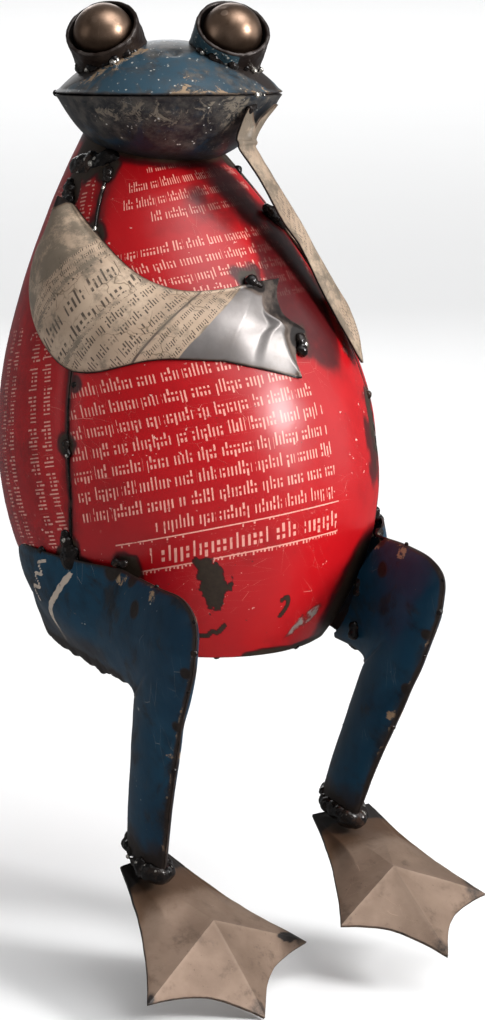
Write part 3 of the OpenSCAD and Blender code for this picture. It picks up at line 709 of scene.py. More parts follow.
def body_soot_and_shade(T, H, ds, h1):
    S = np.zeros(T.shape)
    def add(v):
        np.maximum(S, v, out=S)
    R = body_r(H)
    # burns round the seam tacks
    for t0, h0, rr, k in [(-47.5, 214, 5.5, 1.0), (-52.6, 184, 6.8, 1.0), (-57, 122, 3.2, 0.7),
        (-61.5, 96, 5.6, 1.0), (-68, 52, 6.0, 1.0), (-70, 44, 9.5, 1.0), (-50, 40, 6.0, 0.85),
        (57, 206, 6, 1), (58, 150, 5, 1), (58.5, 96, 5, 1), (59, 42, 7, 1), (180, 200, 6, 1),
        (180, 150, 6, 1), (180, 96, 6, 1), (180, 40, 7, 1), (-180, 200, 6, 1), (-180, 150, 6, 1),
        (-180, 96, 6, 1), (-180, 40, 7, 1)]:
        add(k * spot(T, H, t0, h0, rr, rr * 1.15, 3, 0.5, 0.45))
    # burns with a ragged edge: strength, angle, height, half width and height, seed, raggedness, softness
    for k, *where in [
            (1, -76, 207.5, 6.0, 9.5, 8, 0.4, 0.3),
            (1, 53, 84, 6.5, 13, 12, 0.5, 0.4),
            (0.85, 56, 64, 4.0, 9, 13, 0.6, 0.5),
            (0.62, 49, 74, 9, 18, 13, 0.8, 0.6),
            (1, -49.5, 38.5, 6.0, 6.5, 22, 0.6, 0.3),
            (0.9, 8.7, 156, 7, 6, 31, 0.5, 0.6),
            (0.8, 21, 127, 9, 9, 32, 0.5, 0.6),
            (1, -63, 221, 15, 9.5, 41, 0.4, 0.4),
            (1, 54, 214, 9, 8, 42, 0.5, 0.4),
            (1, 150, 219, 14, 9, 43, 0.4, 0.4),
            (1, -150, 219, 14, 9, 44, 0.4, 0.4)]:
        add(k * spot(T, H, *where))
    # the burnt spot on the lower belly
    q = np.hypot(np.radians(T + 23.5) * R / 6.2, (H - 27) / 13.0)
    P3 = np.stack([np.radians(T) * R, H, 0 * H], -1)
    add(0.98 * fade(0.84, 1.06, q + 0.62 * vnoise(P3, 6.5, 21, 4) + 0.45 * vnoise(P3, 2.4, 24, 2)))
    # painted shade and a painted dark reflection in the glossy paint round the hand, between the hand and the
    # left arm and along under the left arm; dark spots high on the front under the jaw; the painted shadow of
    # the left leg low on
    # the left: strength, where it starts and ends to fade, angle, height, half width and height, raggedness
    nq = vnoise(P3, 16, 23, 3)
    for k, full, gone, t0, h0, rt, rh, ragged in [
            (0.50, 0.74, 1.04, 31, 144, 24, 39, 0.10),
            (0.30, 0.2, 1.0, 10, 188, 26, 22, 0),
            (0.44, 0.1, 1.0, 2, 195, 13, 11, 0.25),
            (0.50, 0.2, 1.0, 45, 175, 16, 26, 0),
            (0.46, 0.3, 1.0, 26, 194, 20, 30, 0.12),
            (0.95, 0.42, 1.0, 50, 13, 29, 33, 0.12)]:
        q = np.hypot(np.radians(T - t0) * R / rt, (H - h0) / rh)
        add(k * fade(full, gone, q + ragged * nq))
    lo = H - gore_low(T)
    add(0.95 * fade(1.2, 4.2, lo + 2.2 * nq) * sstep(-16, -10, T) * fade(60, 90, T))
    # collar of soot at the neck
    e = h1 - H
    add(0.75 * fade(0, 7, e))
    # a faint painted shade on the right gore, the side turned from the light
    add(0.20 * fade(-78, -60, T) * sstep(-130, -100, T))
    # a thin dirty line along each seam
    add(0.80 * np.exp(-(ds / 1.3) ** 2))
    add(0.34 * np.exp(-(ds / 5.0) ** 2))
    # hand drawn marks low on the belly
    for pts in (MARK_A, MARK_B):
        q = cr(np.array(pts, float), np.linspace(0, 1, 60))
        X = np.radians(T) * 60
        dist = np.full(T.shape, 9.0)
        near = (np.abs(T - q[:, 0].mean()) < 30) & (np.abs(H - q[:, 1].mean()) < 25)
        xs, hs = X[near], H[near]
        dd = np.full(xs.shape, 9.0)
        for tq, hq in q:
            dd = np.minimum(dd, np.hypot(xs - math.radians(tq) * 60, hs - hq))
        dist[near] = dd
        add(1.1 * fade(0.5, 1.3, dist))
    return S

# two strokes low on the belly, as angle and height
MARK_A = [(-34, 3.0), (-31.5, 4.6), (-29.0, 3.8), (-26.5, 5.4), (-24.0, 4.8), (-21.0, 7.4)]
MARK_B = [(2.4, 14.6), (4.6, 15.2), (5.4, 12.4), (4.4, 9.4), (2.8, 7.2)]

def body_wear(T, H, ds, e):
    W = np.zeros(T.shape)
    def add(v):
        np.maximum(W, v, out=W)
    add(0.56 * fade(0, 2.2, e))
    # a long grey streak near the bottom, tilted by slant
    across, up = np.radians(T - 15.5) * 55, H - 1.5
    slant = 0.52
    q = np.hypot((across * math.cos(slant) + up * math.sin(slant)) / 17,
        (-across * math.sin(slant) + up * math.cos(slant)) / 4.6)
    add(0.53 * fade(0.2, 1.35, q + 0.7 * vnoise(np.stack([across, up, 0 * H], -1), 5, 51, 3)))
    add(0.30 * np.exp(-(ds / 2.0) ** 2))
    for k, *where in [
            (0.50, 50, 78, 6, 16, 52, 0.8),
            (0.44, -49, 30, 4, 4, 53, 0.6),
            (0.42, 48, 176, 8, 18, 54, 0.8),
            (0.52, 46, 118, 5, 7, 55, 0.8)]:
        add(k * spot(T, H, *where, 0.5))
    return W

def body_print(T, H, name):
    M = np.zeros(T.shape)
    if name == "front_body_panel":
        v = H - 0.04 * (T - 20)
        # ragged row ends: each row has its own left and right limit
        k = np.floor(v / 9.0).astype(int)
        right = np.select([k == 6, k == 7, k == 8, k == 9, k == 10, k == 11, k == 12],
            [20.5, 22, 21.7, 21, 21, 18.5, 16], 13.0)
        left = np.where(k == 6, -37.5, -60.0)
        M = np.where((v > 54.2) & (v < 126) & (T > left) & (T < right), 1.0, 0.0)
        M = np.where((v > 41.0) & (v < 51) & (T > -41) & (T < 22.5), 1.0, M)
        ruler = (((v > 39.2) & (v < 41.2)) | ((v > 52.3) & (v < 54.2))) & (T > -51.5) & (T < 23.5)
        M = np.where(ruler, 2.0, M)
        ku = np.floor((v + 2.8) / 7.3).astype(int)
        ru = np.select([ku % 4 == 0, ku % 4 == 1, ku % 4 == 2], [44.0, 50.0, 38.0], 47.0)
        lu = np.select([ku >= 29, ku == 28, ku == 27, ku == 26, ku == 25], [-22.0, -34.0, -38.0, -24.0,
            60.0], -60.0)
        M = np.where((v > 146) & (v < 213) & (T > lu) & (T < ru), 1.0, M)
    elif name == "right_body_panel":
        column = np.floor((-np.radians(T) * 78 + 140.0 - 400.0) / 9.0).astype(int) % 3
        M = np.where((T < -66) & (T > -112) & (H > 24 + 0.3 * (T + 112)) & (H < 150) & (column != 1), 1.0,
            0.0)
        M = np.where((T < -56) & (T > -100) & (H > 176) & (H < 212), 1.0, M)
    else:
        M = np.where((T > 72) & (T < 118) & (H > 60) & (H < 150), 1.0, 0.0)
    return M

panel("front_body_panel", seam_right, seam_left, 230, 3)
panel("right_body_panel", lambda h: seam_back(h) - 360.0, seam_right, 200, 17)
panel("left_body_panel", seam_left, seam_back, 200, 29)

# seat: flat middle, shallow dish outside it, a slightly lumpy outer ring that ends just inside the gores
def seat():
    na, nr = 200, 60
    th = np.linspace(0, 2 * np.pi, na + 1)
    tt = np.degrees(th) - 180.0
    lo = gore_low(tt)
    pl = skin(tt, lo, -TIN - 0.35)
    R = np.hypot(pl[:, 0], pl[:, 1])
    ang = np.arctan2(pl[:, 0], -pl[:, 1])
    f = np.linspace(0, 1, nr)
    rr = f[:, None] * R[None, :]
    x = rr * np.sin(ang)
    y = -rr * np.cos(ang)
    P = np.stack([x, y, dish_z(rr) + 0.12], -1)
    n = 0.22 * vnoise(P, 24, 61, 3) * sstep(30, 44, rr)
    P[..., 2] += np.abs(n)
    m = np.zeros(P.shape)
    m[..., 0] = np.clip(0.35 + 0.5 * vnoise(P, 22, 62, 3), 0, 1) * sstep(0.6, 1, f)[:, None]
    m[..., 1] = 0.35 + 0.3 * vnoise(P, 30, 63, 2)
    top = P.copy()
    top[..., 2] += TIN
    return sheet("seat_plate.sheet", P, TIN, 1, SEAT, "seat_plate", m, None, inner=top)
seat()

# ---------------------------------------------------------------- head
def cap(name, R, sag, centre, sign, mat, maskf, dents, lip, seed):
    """a beaten cap: rings from the pole to the rim, thickness to the inside, a rounded rim"""
    na, nr = 240, 90
    amax = math.acos((R - sag) / R)
    th = np.linspace(0, 2 * np.pi, na + 1)
    f = np.linspace(0.0, 1, nr)
    a = amax * f
    A2, T2 = np.meshgrid(a, th, indexing="ij")
    def pts(off):
        rr = R + off
        P = np.stack([rr * np.sin(A2) * np.sin(T2), -rr * np.sin(A2) * np.cos(T2), sign * rr * np.cos(A2)
            + centre], -1)
        return P
    P0 = pts(np.zeros(A2.shape))
    F = np.broadcast_to(f[:, None], A2.shape)
    d = (0.55 * vnoise(P0, 36, seed, 2) + 0.18 * vnoise(P0, 14, seed + 3, 2)) * (1 - 0.75 * sstep(0.9, 1, F))
    for (x0, y0, rad, depth) in dents:
        d = d - depth * np.exp(-(((P0[..., 0] - x0) ** 2 + (P0[..., 1] - y0) ** 2) / rad ** 2))
    d = d + lip * sstep(0.955, 1.0, F)
    P = pts(d - 0.12)
    Q = pts(d - 0.12 - TIN)
    sheet(name + ".sheet", head_pt(P), TIN, 1, mat, name, maskf(P, F, T2), inner=head_pt(Q))

def gauss(P, x, y, r):
    return np.exp(-(((P[..., 0] - x) ** 2 + (P[..., 1] - y) ** 2) / r ** 2))

def top_mask(P, F, T):
    m = np.zeros(P.shape)
    n = vnoise(P, 16, 71, 3)
    deg = np.degrees(T)
    front = np.where(deg > 180, deg - 360, deg)
    m[..., 0] = 0.62 * sstep(0.975, 1.0, F)
    for s in (-1, 1):
        e = np.hypot(P[..., 0] - s * 31, P[..., 1] + 10)
        m[..., 0] = np.maximum(m[..., 0], 0.80 * fade(15.0, 18.5, e + 3.5 * n))
    m[..., 1] = np.clip(0.40 * sstep(0.86, 1.0, F) + 0.35 * gauss(P, 34, -22, 20) + 0.30 * gauss(P, -40,
        -16, 16) + 0.6 * gauss(P, 3, -22, 9) + 0.5 * gauss(P, 0, 30, 34), 0, 1)
    m[..., 2] = np.clip(0.55 * sstep(0.93, 1.0, F) * (front > -15) + 1.0 * gauss(P, -14, -21, 7) + 0.95
        * gauss(P, -25, -25, 8) + 0.75 * gauss(P, -38, -22, 9) + 0.45 * gauss(P, 36, -26, 9) + 0.7
        * gauss(P, 10, -47, 7) + 0.7 * gauss(P, 26, -42, 6), 0, 1)
    return m

def jaw_mask(P, F, T):
    m = np.zeros(P.shape)
    n = vnoise(P, 20, 73, 3)
    deg = np.degrees(T)
    front = np.where(deg > 180, deg - 360, deg)
    m[..., 0] = np.clip(0.40 * sstep(0.985, 1.0, F) + 0.80 * fade(0.30, 0.62, F + 0.10 * n), 0, 1)
    m[..., 1] = np.clip(0.35 + 0.6 * sstep(0.55, 0.95, F) + 0.4 * gauss(P, -45, -10, 18), 0, 1)
    m[..., 2] = np.clip(0.75 * np.exp(-((F - 0.86) / 0.10) ** 2) * (0.35 + 0.65 * (np.abs(front + 8) < 34))
        + 0.8 * gauss(P, 30, -38, 8) + 0.35 * sstep(0.9, 1, F), 0, 1)
    return m

cap("head_top", DOME_R, RISE, DOME_C, 1, BLUE_HEAD, top_mask, ((3.5, -27, 2.6, 1.3),
    (23.0, -24.5, 2.2, 1.0), (-8, -36, 9, 0.4), (18, 20, 14, 0.5)), lip=0.5, seed=81)
cap("lower_jaw", JAW_R, JAWD, JAW_C, -1, BLUE_JAW, jaw_mask, ((-18, -34, 9, 0.5), (20, -36, 10, 0.5)),
    lip=0.35, seed=91)

# ---------------------------------------------------------------- eyes
def eye(s):
    M, t = eye_mat(s)
    side = "left" if s > 0 else "right"
    def place(P):
        return P @ M.T + t
    # cup: outer wall down to the dome, rolled rim, inner wall, floor
    na = 160
    th = np.linspace(0, 2 * np.pi, na + 1)
    cx, sx = np.cos(th), np.sin(th)
    rim_n = 0.55 * vnoise(np.stack([17 * cx, 17 * sx, 0 * cx + s * 40], -1), 9, 101,
        3) + 0.25 * vnoise(np.stack([17 * cx, 17 * sx, 0 * cx + s * 40], -1), 3, 102, 2)
    R0 = 16.75 + 0.22 * vnoise(np.stack([17 * cx, 17 * sx, 0 * cx + s * 70], -1), 16, 103, 2)
    # where the wall meets the dome
    def f(z):
        p = place(np.stack([R0 * cx, R0 * sx, z], -1))
        return np.linalg.norm(p - DOME_W, axis=-1) - (DOME_R - 0.5)
    zb = bisect(f, np.full(na + 1, 0.0), np.full(na + 1, -24.0))
    zb = np.clip(zb, -24, 0)
    rows = []
    top = -0.25 + 0.35 * rim_n
    for k in np.linspace(0, 1, 26):
        rows.append(np.stack([R0 * cx, R0 * sx, lerp(zb, top - 0.5, k)], -1))
    RW = 0.95
    for k in np.linspace(0.1, 1, 8):
        b = math.pi * k
        rc = R0 - RW
        rows.append(np.stack([(rc + RW * math.cos(b)) * cx, (rc + RW * math.cos(b)) * sx, top - 0.5 + 0.7
            * math.sin(b)], -1))
    Ri = R0 - 2 * RW
    for k in np.linspace(0.08, 1, 14):
        rows.append(np.stack([lerp(Ri, Ri - 0.6, k) * cx, lerp(Ri, Ri - 0.6, k) * sx, lerp(top - 0.5, -12.0,
            k)], -1))
    for k in np.linspace(0.1, 1, 8):
        rows.append(np.stack([(Ri - 0.6) * (1 - k) * cx, (Ri - 0.6) * (1 - k) * sx,
            np.full(na + 1, -12.0 - 0.6 * k)], -1))
    G = np.array(rows)
    n = vnoise(G, 5, 105, 3)
    N = grid_normals(G)
    n5 = vnoise(G, 2.2, 115, 2)
    G = G + N * (0.34 * n + 0.14 * n5)[..., None] * (np.arange(len(rows)) < 47)[:, None, None]
    m = np.zeros(G.shape)
    zz = np.broadcast_to(np.arange(len(rows))[:, None], G.shape[:2])
    # soot at the foot of the outer wall; the whole inside of the cup is black, painted shade in the gap round
    # the ball, with weld soot
    m[..., 0] = np.clip(0.75 * fade(0, 8, zz) + 1.0 * (zz > 32) + 0.35 * n, 0, 1)
    m[..., 1] = np.clip(0.5 + 0.4 * n, 0, 1)
    ang = np.degrees(th)[None, :] % 360
    m[..., 2] = np.clip(np.exp(-((zz - 28.5) / 3.0) ** 2) * (0.10 + 1.3 * vnoise(G, 5, 106, 2)), 0, 1)
    for a0, da, z0, dz in (((352, 9, 27, 6), (334, 6, 24, 5), (318, 5, 29, 3), (250, 4, 30, 3)) if s < 0
        else ((283, 7, 28, 4), (314, 6, 25, 6), (336, 5, 29, 3), (200, 5, 29, 3))):
        q = np.hypot((ang - a0) / da, (zz - z0) / dz)
        m[..., 2] = np.maximum(m[..., 2], 1.6 * fade(0.5, 1.1, q + 0.5 * n5))
    if s > 0:
        wx = (np.stack([cx, sx, 0 * cx], -1) @ M.T)[:, 0]
        m[..., 1] = np.where((zz < 25) & (wx[None, :] < -0.15), 2.0, m[..., 1])
    V = place(G).reshape(-1, 3)
    F = np.stack(cells(len(rows), na + 1), 1)
    new_obj(side + "_eye_socket.cup", V, F, CUP_L if s > 0 else CUP, side + "_eye_socket",
        m.reshape(-1, 3), None, sharp=math.radians(60))
    # ball: a steel ball with a dull, faintly pitted polish
    nr = 90
    a = np.linspace(0, math.radians(128), nr)
    A2, T2 = np.meshgrid(a, th, indexing="ij")
    B = np.stack([np.sin(A2) * np.cos(T2), np.sin(A2) * np.sin(T2), np.cos(A2)], -1)
    rr = 13.5 + 0.05 * vnoise(B * 12.5 + 50 * s, 9, 107, 2)
    rr = rr - 0.22 * np.exp(
        -((np.arccos(np.clip(B @ np.array([-0.35, 0.45, 0.82]) / np.linalg.norm([-0.35, 0.45, 0.82]), -1,
        1)) / 0.16) ** 2))
    P = B * rr[..., None] + np.array([0, 0, -3.9])
    m = np.zeros(P.shape)
    # the part of the ball sunk in the cup is darkened: painted shade
    m[..., 0] = 0.55 * sstep(math.radians(88), math.radians(112), A2)
    # patchy heat tint that grows dark towards the rim of the ball; that growth is painted shade
    m[..., 1] = np.clip(0.35 + 0.6 * vnoise(P, 14, 108, 3) + 0.5 * sstep(math.radians(45), math.radians(90),
        A2), 0, 1)
    # three pale spots on the ball: painted highlights
    for (x, y, rad, k) in ((-0.45, 0.10, 0.13, 0.8), (-0.38, 0.38, 0.10, 0.7), (0.05, -0.25, 0.16, 0.35)):
        q = np.hypot(B[..., 0] - x, B[..., 1] - y) / rad
        m[..., 2] = np.maximum(m[..., 2], k * fade(0.75, 1.05, q + 0.25 * vnoise(P, 3, 109, 2)))
    V = place(P).reshape(-1, 3)
    F = np.roll(np.stack(cells(nr, na + 1)[::-1], 1), 1, 1)
    new_obj(side + "_eye_dome.ball", V, F, EYE, side + "_eye_dome", m.reshape(-1, 3), None)

for s in (-1, 1):
    eye(s)

# ---------------------------------------------------------------- arms
# right arm: upper edge, lower edge and the toothed end of the hand, as angle and height on the body
RA_IN = [[-70, 201.4], [-63.4, 197.6], [-50, 185.6], [-40.6, 174.4], [-35, 167.6], [-28.2, 161],
    [-20.1, 155.8], [-11.9, 153.3], [-1.4, 152.6], [8.7, 153.6]]
RA_OUT = [[-77, 203], [-80.5, 190], [-88.5, 178], [-87, 167], [-80, 154], [-70, 140], [-60.4, 129.4],
    [-50, 125.6], [-30, 126.8], [-9.5, 121.8]]
RA_TIP = [[21.7, 153.7], [17.8, 148], [16.4, 143], [17, 136.8], [23, 129.3], [18.2, 126.3], [15.2, 117.5],
    [14.6, 109]]

def right_arm():
    n, m, nh = 170, 90, 70
    def lift(u, v):
        return 0.9 + TIN + 9.5 * np.sin(np.pi * v) ** 0.8 * (0.4 + 0.6
            * np.sin(np.pi * np.minimum(u * 0.72 + 0.14, 1)))
    def fold(w, v, k, top, below, above):
        # a ridge from the middle of the hand to the tip at v = k; below and above: how far each of its
        # faces reaches
        c = np.maximum(w - 0.4, 0) / 0.6
        d = v - lerp(0.5, k, c)
        return top * (1 - 0.75 * c) * np.maximum(0, 1 - np.where(d > 0, d / np.maximum(below * (1 - c),
            0.05), -d / (above - 0.07 * c)))
    v = np.clip(np.linspace(0, 1, m + 1), 0, 1)[None, :]
    u = np.linspace(0, 1, n + 1)
    A2 = lerp(cr(RA_IN, u)[:, None, :], cr(RA_OUT, u)[:, None, :], v[..., None])
    LA = lift(u[:, None], v)
    w = np.linspace(0, 1, nh + 1)[1:]
    tip = cr(RA_TIP, v[0])
    B2 = lerp(lerp(np.array(RA_IN[9], float), np.array(RA_OUT[9], float), v[0][:, None])[None], tip[None],
        w[:, None, None])
    W = w[:, None]
    LB = np.maximum(lerp(lift(1.0, v), 1.0 + TIN, W ** 0.8), 1.0 + TIN)
    LB = LB + np.maximum(np.maximum(fold(W, v, 0.02, 1.0, 0.16, 0.16), fold(W, v, 0.571, 0.7, 0.14, 0.16)),
        fold(W, v, 0.985, 4.8, 0.52, 0.17)) * sstep(0.34, 0.50, W)
    G2 = np.concatenate([A2, B2])
    L = np.concatenate([LA, LB])
    T, H = G2[..., 0], G2[..., 1]
    P0 = skin(T, H, L)
    U = np.concatenate([np.broadcast_to(u[:, None], LA.shape), 1 + np.broadcast_to(W, LB.shape)])
    V = np.broadcast_to(v, U.shape)
    edge = np.minimum(V, 1 - V)
    calm = 1 - 0.75 * sstep(0.95, 1.15, U)
    d = calm * (0.45 * vnoise(P0, 30, 201, 3) * sstep(0, 0.12, edge) + 0.16 * vnoise(P0, 8, 203, 2)
        * sstep(0, 0.06, edge))
    # the folded hem along the upper edge and a few knocks
    d = d + 0.55 * np.exp(-((V - 0.035) / 0.025) ** 2) * (U < 1.05) - 0.35 * np.exp(-((V - 0.085)
        / 0.03) ** 2) * (U < 1.05)
    d = d - 0.9 * np.exp(-((T + 74) / 5) ** 2 - ((H - 166) / 8) ** 2) + 0.5 * np.exp(-((T + 40) / 9) ** 2
        - ((H - 140) / 8) ** 2)
    P = skin(T, H, np.maximum(L + d - 0.12, TIN + 0.25))
    Q = skin(T, H, np.maximum(L + d - 0.12, TIN + 0.25) - TIN)
    X = np.radians(T) * 84
    al = math.radians(34)
    vv = -X * math.sin(al) + H * math.cos(al) - 135.6
    uu = X * math.cos(al) + H * math.sin(al)
    marks = np.zeros(P.shape)
    n1 = vnoise(P, 9, 207, 3)
    e = np.minimum(edge * 60, 9)
    soot = 0.72 * fade(0, 1.3, e) + 0.24 * fade(0, 6, e) + 0.14 * fade(0.1, 0.35, U)
    for (t0, h0, rr, k) in [(9, 154, 8, 1.0), (20, 126, 9, 0.9), (-72, 202, 6, 0.9), (15, 110, 4, 0.5)]:
        q = np.hypot(np.radians(T - t0) * 80, H - h0) / rr
        soot = np.maximum(soot, k * fade(0.5, 1.3, q + 0.25 * n1))
    # the far side of the middle ridge is painted dark: painted shade on the facet turned from the light, with
    # soot over the fingers
    dk = lerp(0.5, 0.985, np.clip((U - 1.4) / 0.6, 0, 1)) - V
    soot = np.maximum(soot, 0.60 * sstep(0.0, 0.09, dk) * sstep(1.34, 1.52, U + 0.25 * (0.5 - V)) + 0.10
        * sstep(1.6, 1.9, U) * sstep(0.1, 0.3, dk))
    marks[..., 0] = soot
    bare = sstep(-12.2, -13.0, vv)
    marks[..., 1] = bare
    pr = np.where((vv > -12.2) & (vv < -1.0), 1.0, 0.30)
    pr = np.where((vv > 1.4) & (vv < 20.5), 2.0, pr)
    pr = np.where((vv > 23) & (vv < 44.5), 3.0, pr)
    pr = np.where((vv > 46.5) & (vv < 54.5), 1.0, pr)
    pr = np.where((vv > 54.5) | (U < 0.22), 0.0, pr)
    pr = np.where((e < 2.2) & (V < 0.5), np.minimum(pr, 0.3), pr)
    marks[..., 2] = pr
    return sheet("right_arm.sheet", P, TIN, 1, LABEL, "right_arm", marks,
        np.stack([uu, vv], -1), inner=Q)
right_arm()

# left arm: outer and inner edge from shoulder over elbow to hand
LA_OUT = [[40.0, 12.2, 190.3], [47.7, 12.8, 183.3], [56.5, 11.6, 171.9], [63.9, 5.6, 157.7],
    [65.8, -5.5, 145.5], [62.7, -19.6, 135.6], [56.6, -33.3, 130.3], [48.4, -34.8, 142.4],
    [40.9, -34.3, 154.7], [34.3, -33.2, 167.1], [26.6, -30.4, 183.7], [19.0, -27.7, 195.4],
    [10.7, -24.5, 211.8], [4.7, -22.6, 221.6], [0.0, -20.2, 230.3], [2.3, -19.7, 238.5],
    [5.7, -19.7, 245.3]]
LA_IN = [[23.8, -3.1, 199.9], [33.0, -1.1, 189.7], [40.9, -1.8, 180.2], [47.6, -4.0, 171.4],
    [52.9, -6.7, 163.6], [55.3, -9.1, 159.2], [54.6, -12.1, 160.0], [50.6, -14.6, 165.6],
    [46.0, -14.5, 173.2], [40.2, -12.6, 183.3], [35.0, -10.0, 193.7], [28.9, -8.0, 205.0],
    [22.3, -6.9, 215.5], [16.9, -8.6, 223.4], [13.9, -10.5, 229.5], [19.8, -7.8, 237.9],
    [26.2, -8.9, 245.7]]

def left_arm():
    n, m = 260, 60
    u = np.linspace(0, 1, n + 1)[:, None]
    v = np.linspace(0, 1, m + 1)[None, :]
    uu = u * (1 - 0.072 * np.maximum(0, 1 - np.abs(v - 0.50) / 0.38) ** 0.9 * sstep(0.84, 1.0, u))
    a = cr(LA_OUT, uu)
    b = cr(LA_IN, uu)
    b5 = 3.2 * np.sin(np.pi * v) * (0.35 + 0.65 * np.sin(np.pi * np.minimum(u * 0.95 + 0.03, 1)))
    P = lerp(a, b, v[..., None]) + b5[..., None] * np.array([0.80, -0.36, 0.42])
    N = grid_normals(P)
    e = np.minimum(v, 1 - v) + 0 * u
    d = 0.35 * vnoise(P, 22, 211, 3) * sstep(0, 0.15, e) + 0.12 * vnoise(P, 7, 213, 2)
    # the crease at the wrist and the folds of the hand
    d = d - 0.9 * np.exp(-((u - 0.872) / 0.008) ** 2) - 1.1 * np.exp(-((v - 0.5) / 0.10) ** 2) * sstep(0.87,
        0.92, u)
    P = P + N * d[..., None]
    marks = np.zeros(P.shape)
    n1 = vnoise(P, 9, 217, 3)
    U = u + 0 * v
    V = v + 0 * u
    soot = 0.60 * fade(0, 0.035, e) + 0.20 * fade(0, 0.12, e) * (V < 0.5)
    soot = np.maximum(soot, 0.95 * fade(0.03, 0.13, U + 0.03 * n1))
    soot = np.maximum(soot, 0.65 * sstep(0.975, 1.0, U))
    marks[..., 0] = soot
    pr = np.where((U > 0.60) & (U < 0.72) & (V > 0.12) & (V < 0.85), 1.0, 0.25)
    pr = np.where((U > 0.34) & (U < 0.47) & (V > 0.15) & (V < 0.8), 1.0, pr)
    pr = np.where((U > 0.16) & (U < 0.30), 3.0, pr)
    marks[..., 2] = pr
    return sheet("left_arm.sheet", P, TIN, 1, LABEL_L, "left_arm", marks,
        np.stack([V * 24 + U * 60 + 300, U * 190 - V * 12 + 11], -1))

# ---------------------------------------------------------------- legs
# leg outline: front and top edge, then back edge, as forward distance and height
LEG_TOP = {-1: [[-50, 36], [-38, 43], [-14, 46.5], [14, 47], [38, 46.2], [60, 45.4], [82, 45.4],
    [103, 45.6], [115, 39.5], [116.3, 28.5], [111, 12.6], [99.6, -7], [87.7, -32.5], [76.6, -59.6],
    [66.7, -88]], 1: [[-50, 36], [-38, 43], [-14, 46.5], [14, 47], [40, 47], [62, 47.6], [83, 48],
    [101, 46.2], [111.6, 40], [110.7, 28.6], [104.3, 12], [96.2, -8.2], [85, -33], [73, -60.5],
    [63.6, -88.5]]}
LEG_LOW = [[-54, 29], [-51, 12], [-41, -2], [-22, -5], [4, -5], [24, -5], [40, -5], [48, -6], [52.5, -8],
    [53, -11], [51, -17], [47.5, -28], [43, -44], [38, -61], [34, -78]]
# sideways place of knee and ankle, and how far each ankle is raised
KNEE, ANKLE, UP = {-1: 58.0, 1: 63.5}, {-1: 50.5, 1: 47.5}, {-1: -2.0, 1: 8.0}
# half thickness of the leg at knee and ankle; the legs' middle is off the seat's middle by SHIFT
KT, AT, SHIFT = 8.0, 6.0, 9.5

def leg_k(z):
    return np.clip((z + 84) / 107, 0, 1)
def leg_mid(s, z):
    return lerp(ANKLE[s], KNEE[s], leg_k(z))
def leg_t(z):
    return AT + (KT - AT) * leg_k(z)
def body_lat(s, f, z):
    R = body_r(z + 1.5) + 0.5
    fc = -z * math.tan(LEAN)
    d = R * R - (f - fc) ** 2
    return np.where((z > -16) & (d > 0), np.sqrt(np.maximum(d, 0)), 0) + s * (SHIFT - z * math.tan(SIDE))
def smax(a, b, k):
    h = np.maximum(k - np.abs(a - b), 0) / k
    return np.maximum(a, b) + h * h * k / 4
def leg_shift(s, q):
    q = q.copy()
    z = q[..., 1]
    q[..., 1] = z + UP[s] * np.clip(-z / 84, 0, 1) + (3 if s > 0 else 0) * np.clip(z / 40, 0, 1)
    return q
def leg_pt(s, lat, f, z):
    return np.stack([s * lat - SHIFT, -f, z + DROP], -1)

# pale painted lines on the haunch: points and half width
HAUNCH_LINES = [([(21, 39.5), (16, 34.5), (9, 27.5), (1, 20.7), (-6, 12), (-11, 2)], 1.4),
    ([(5, 43), (-1, 41), (0.5, 36), (-6, 35), (-4, 29), (-11, 28), (-10, 21)], 0.75)]

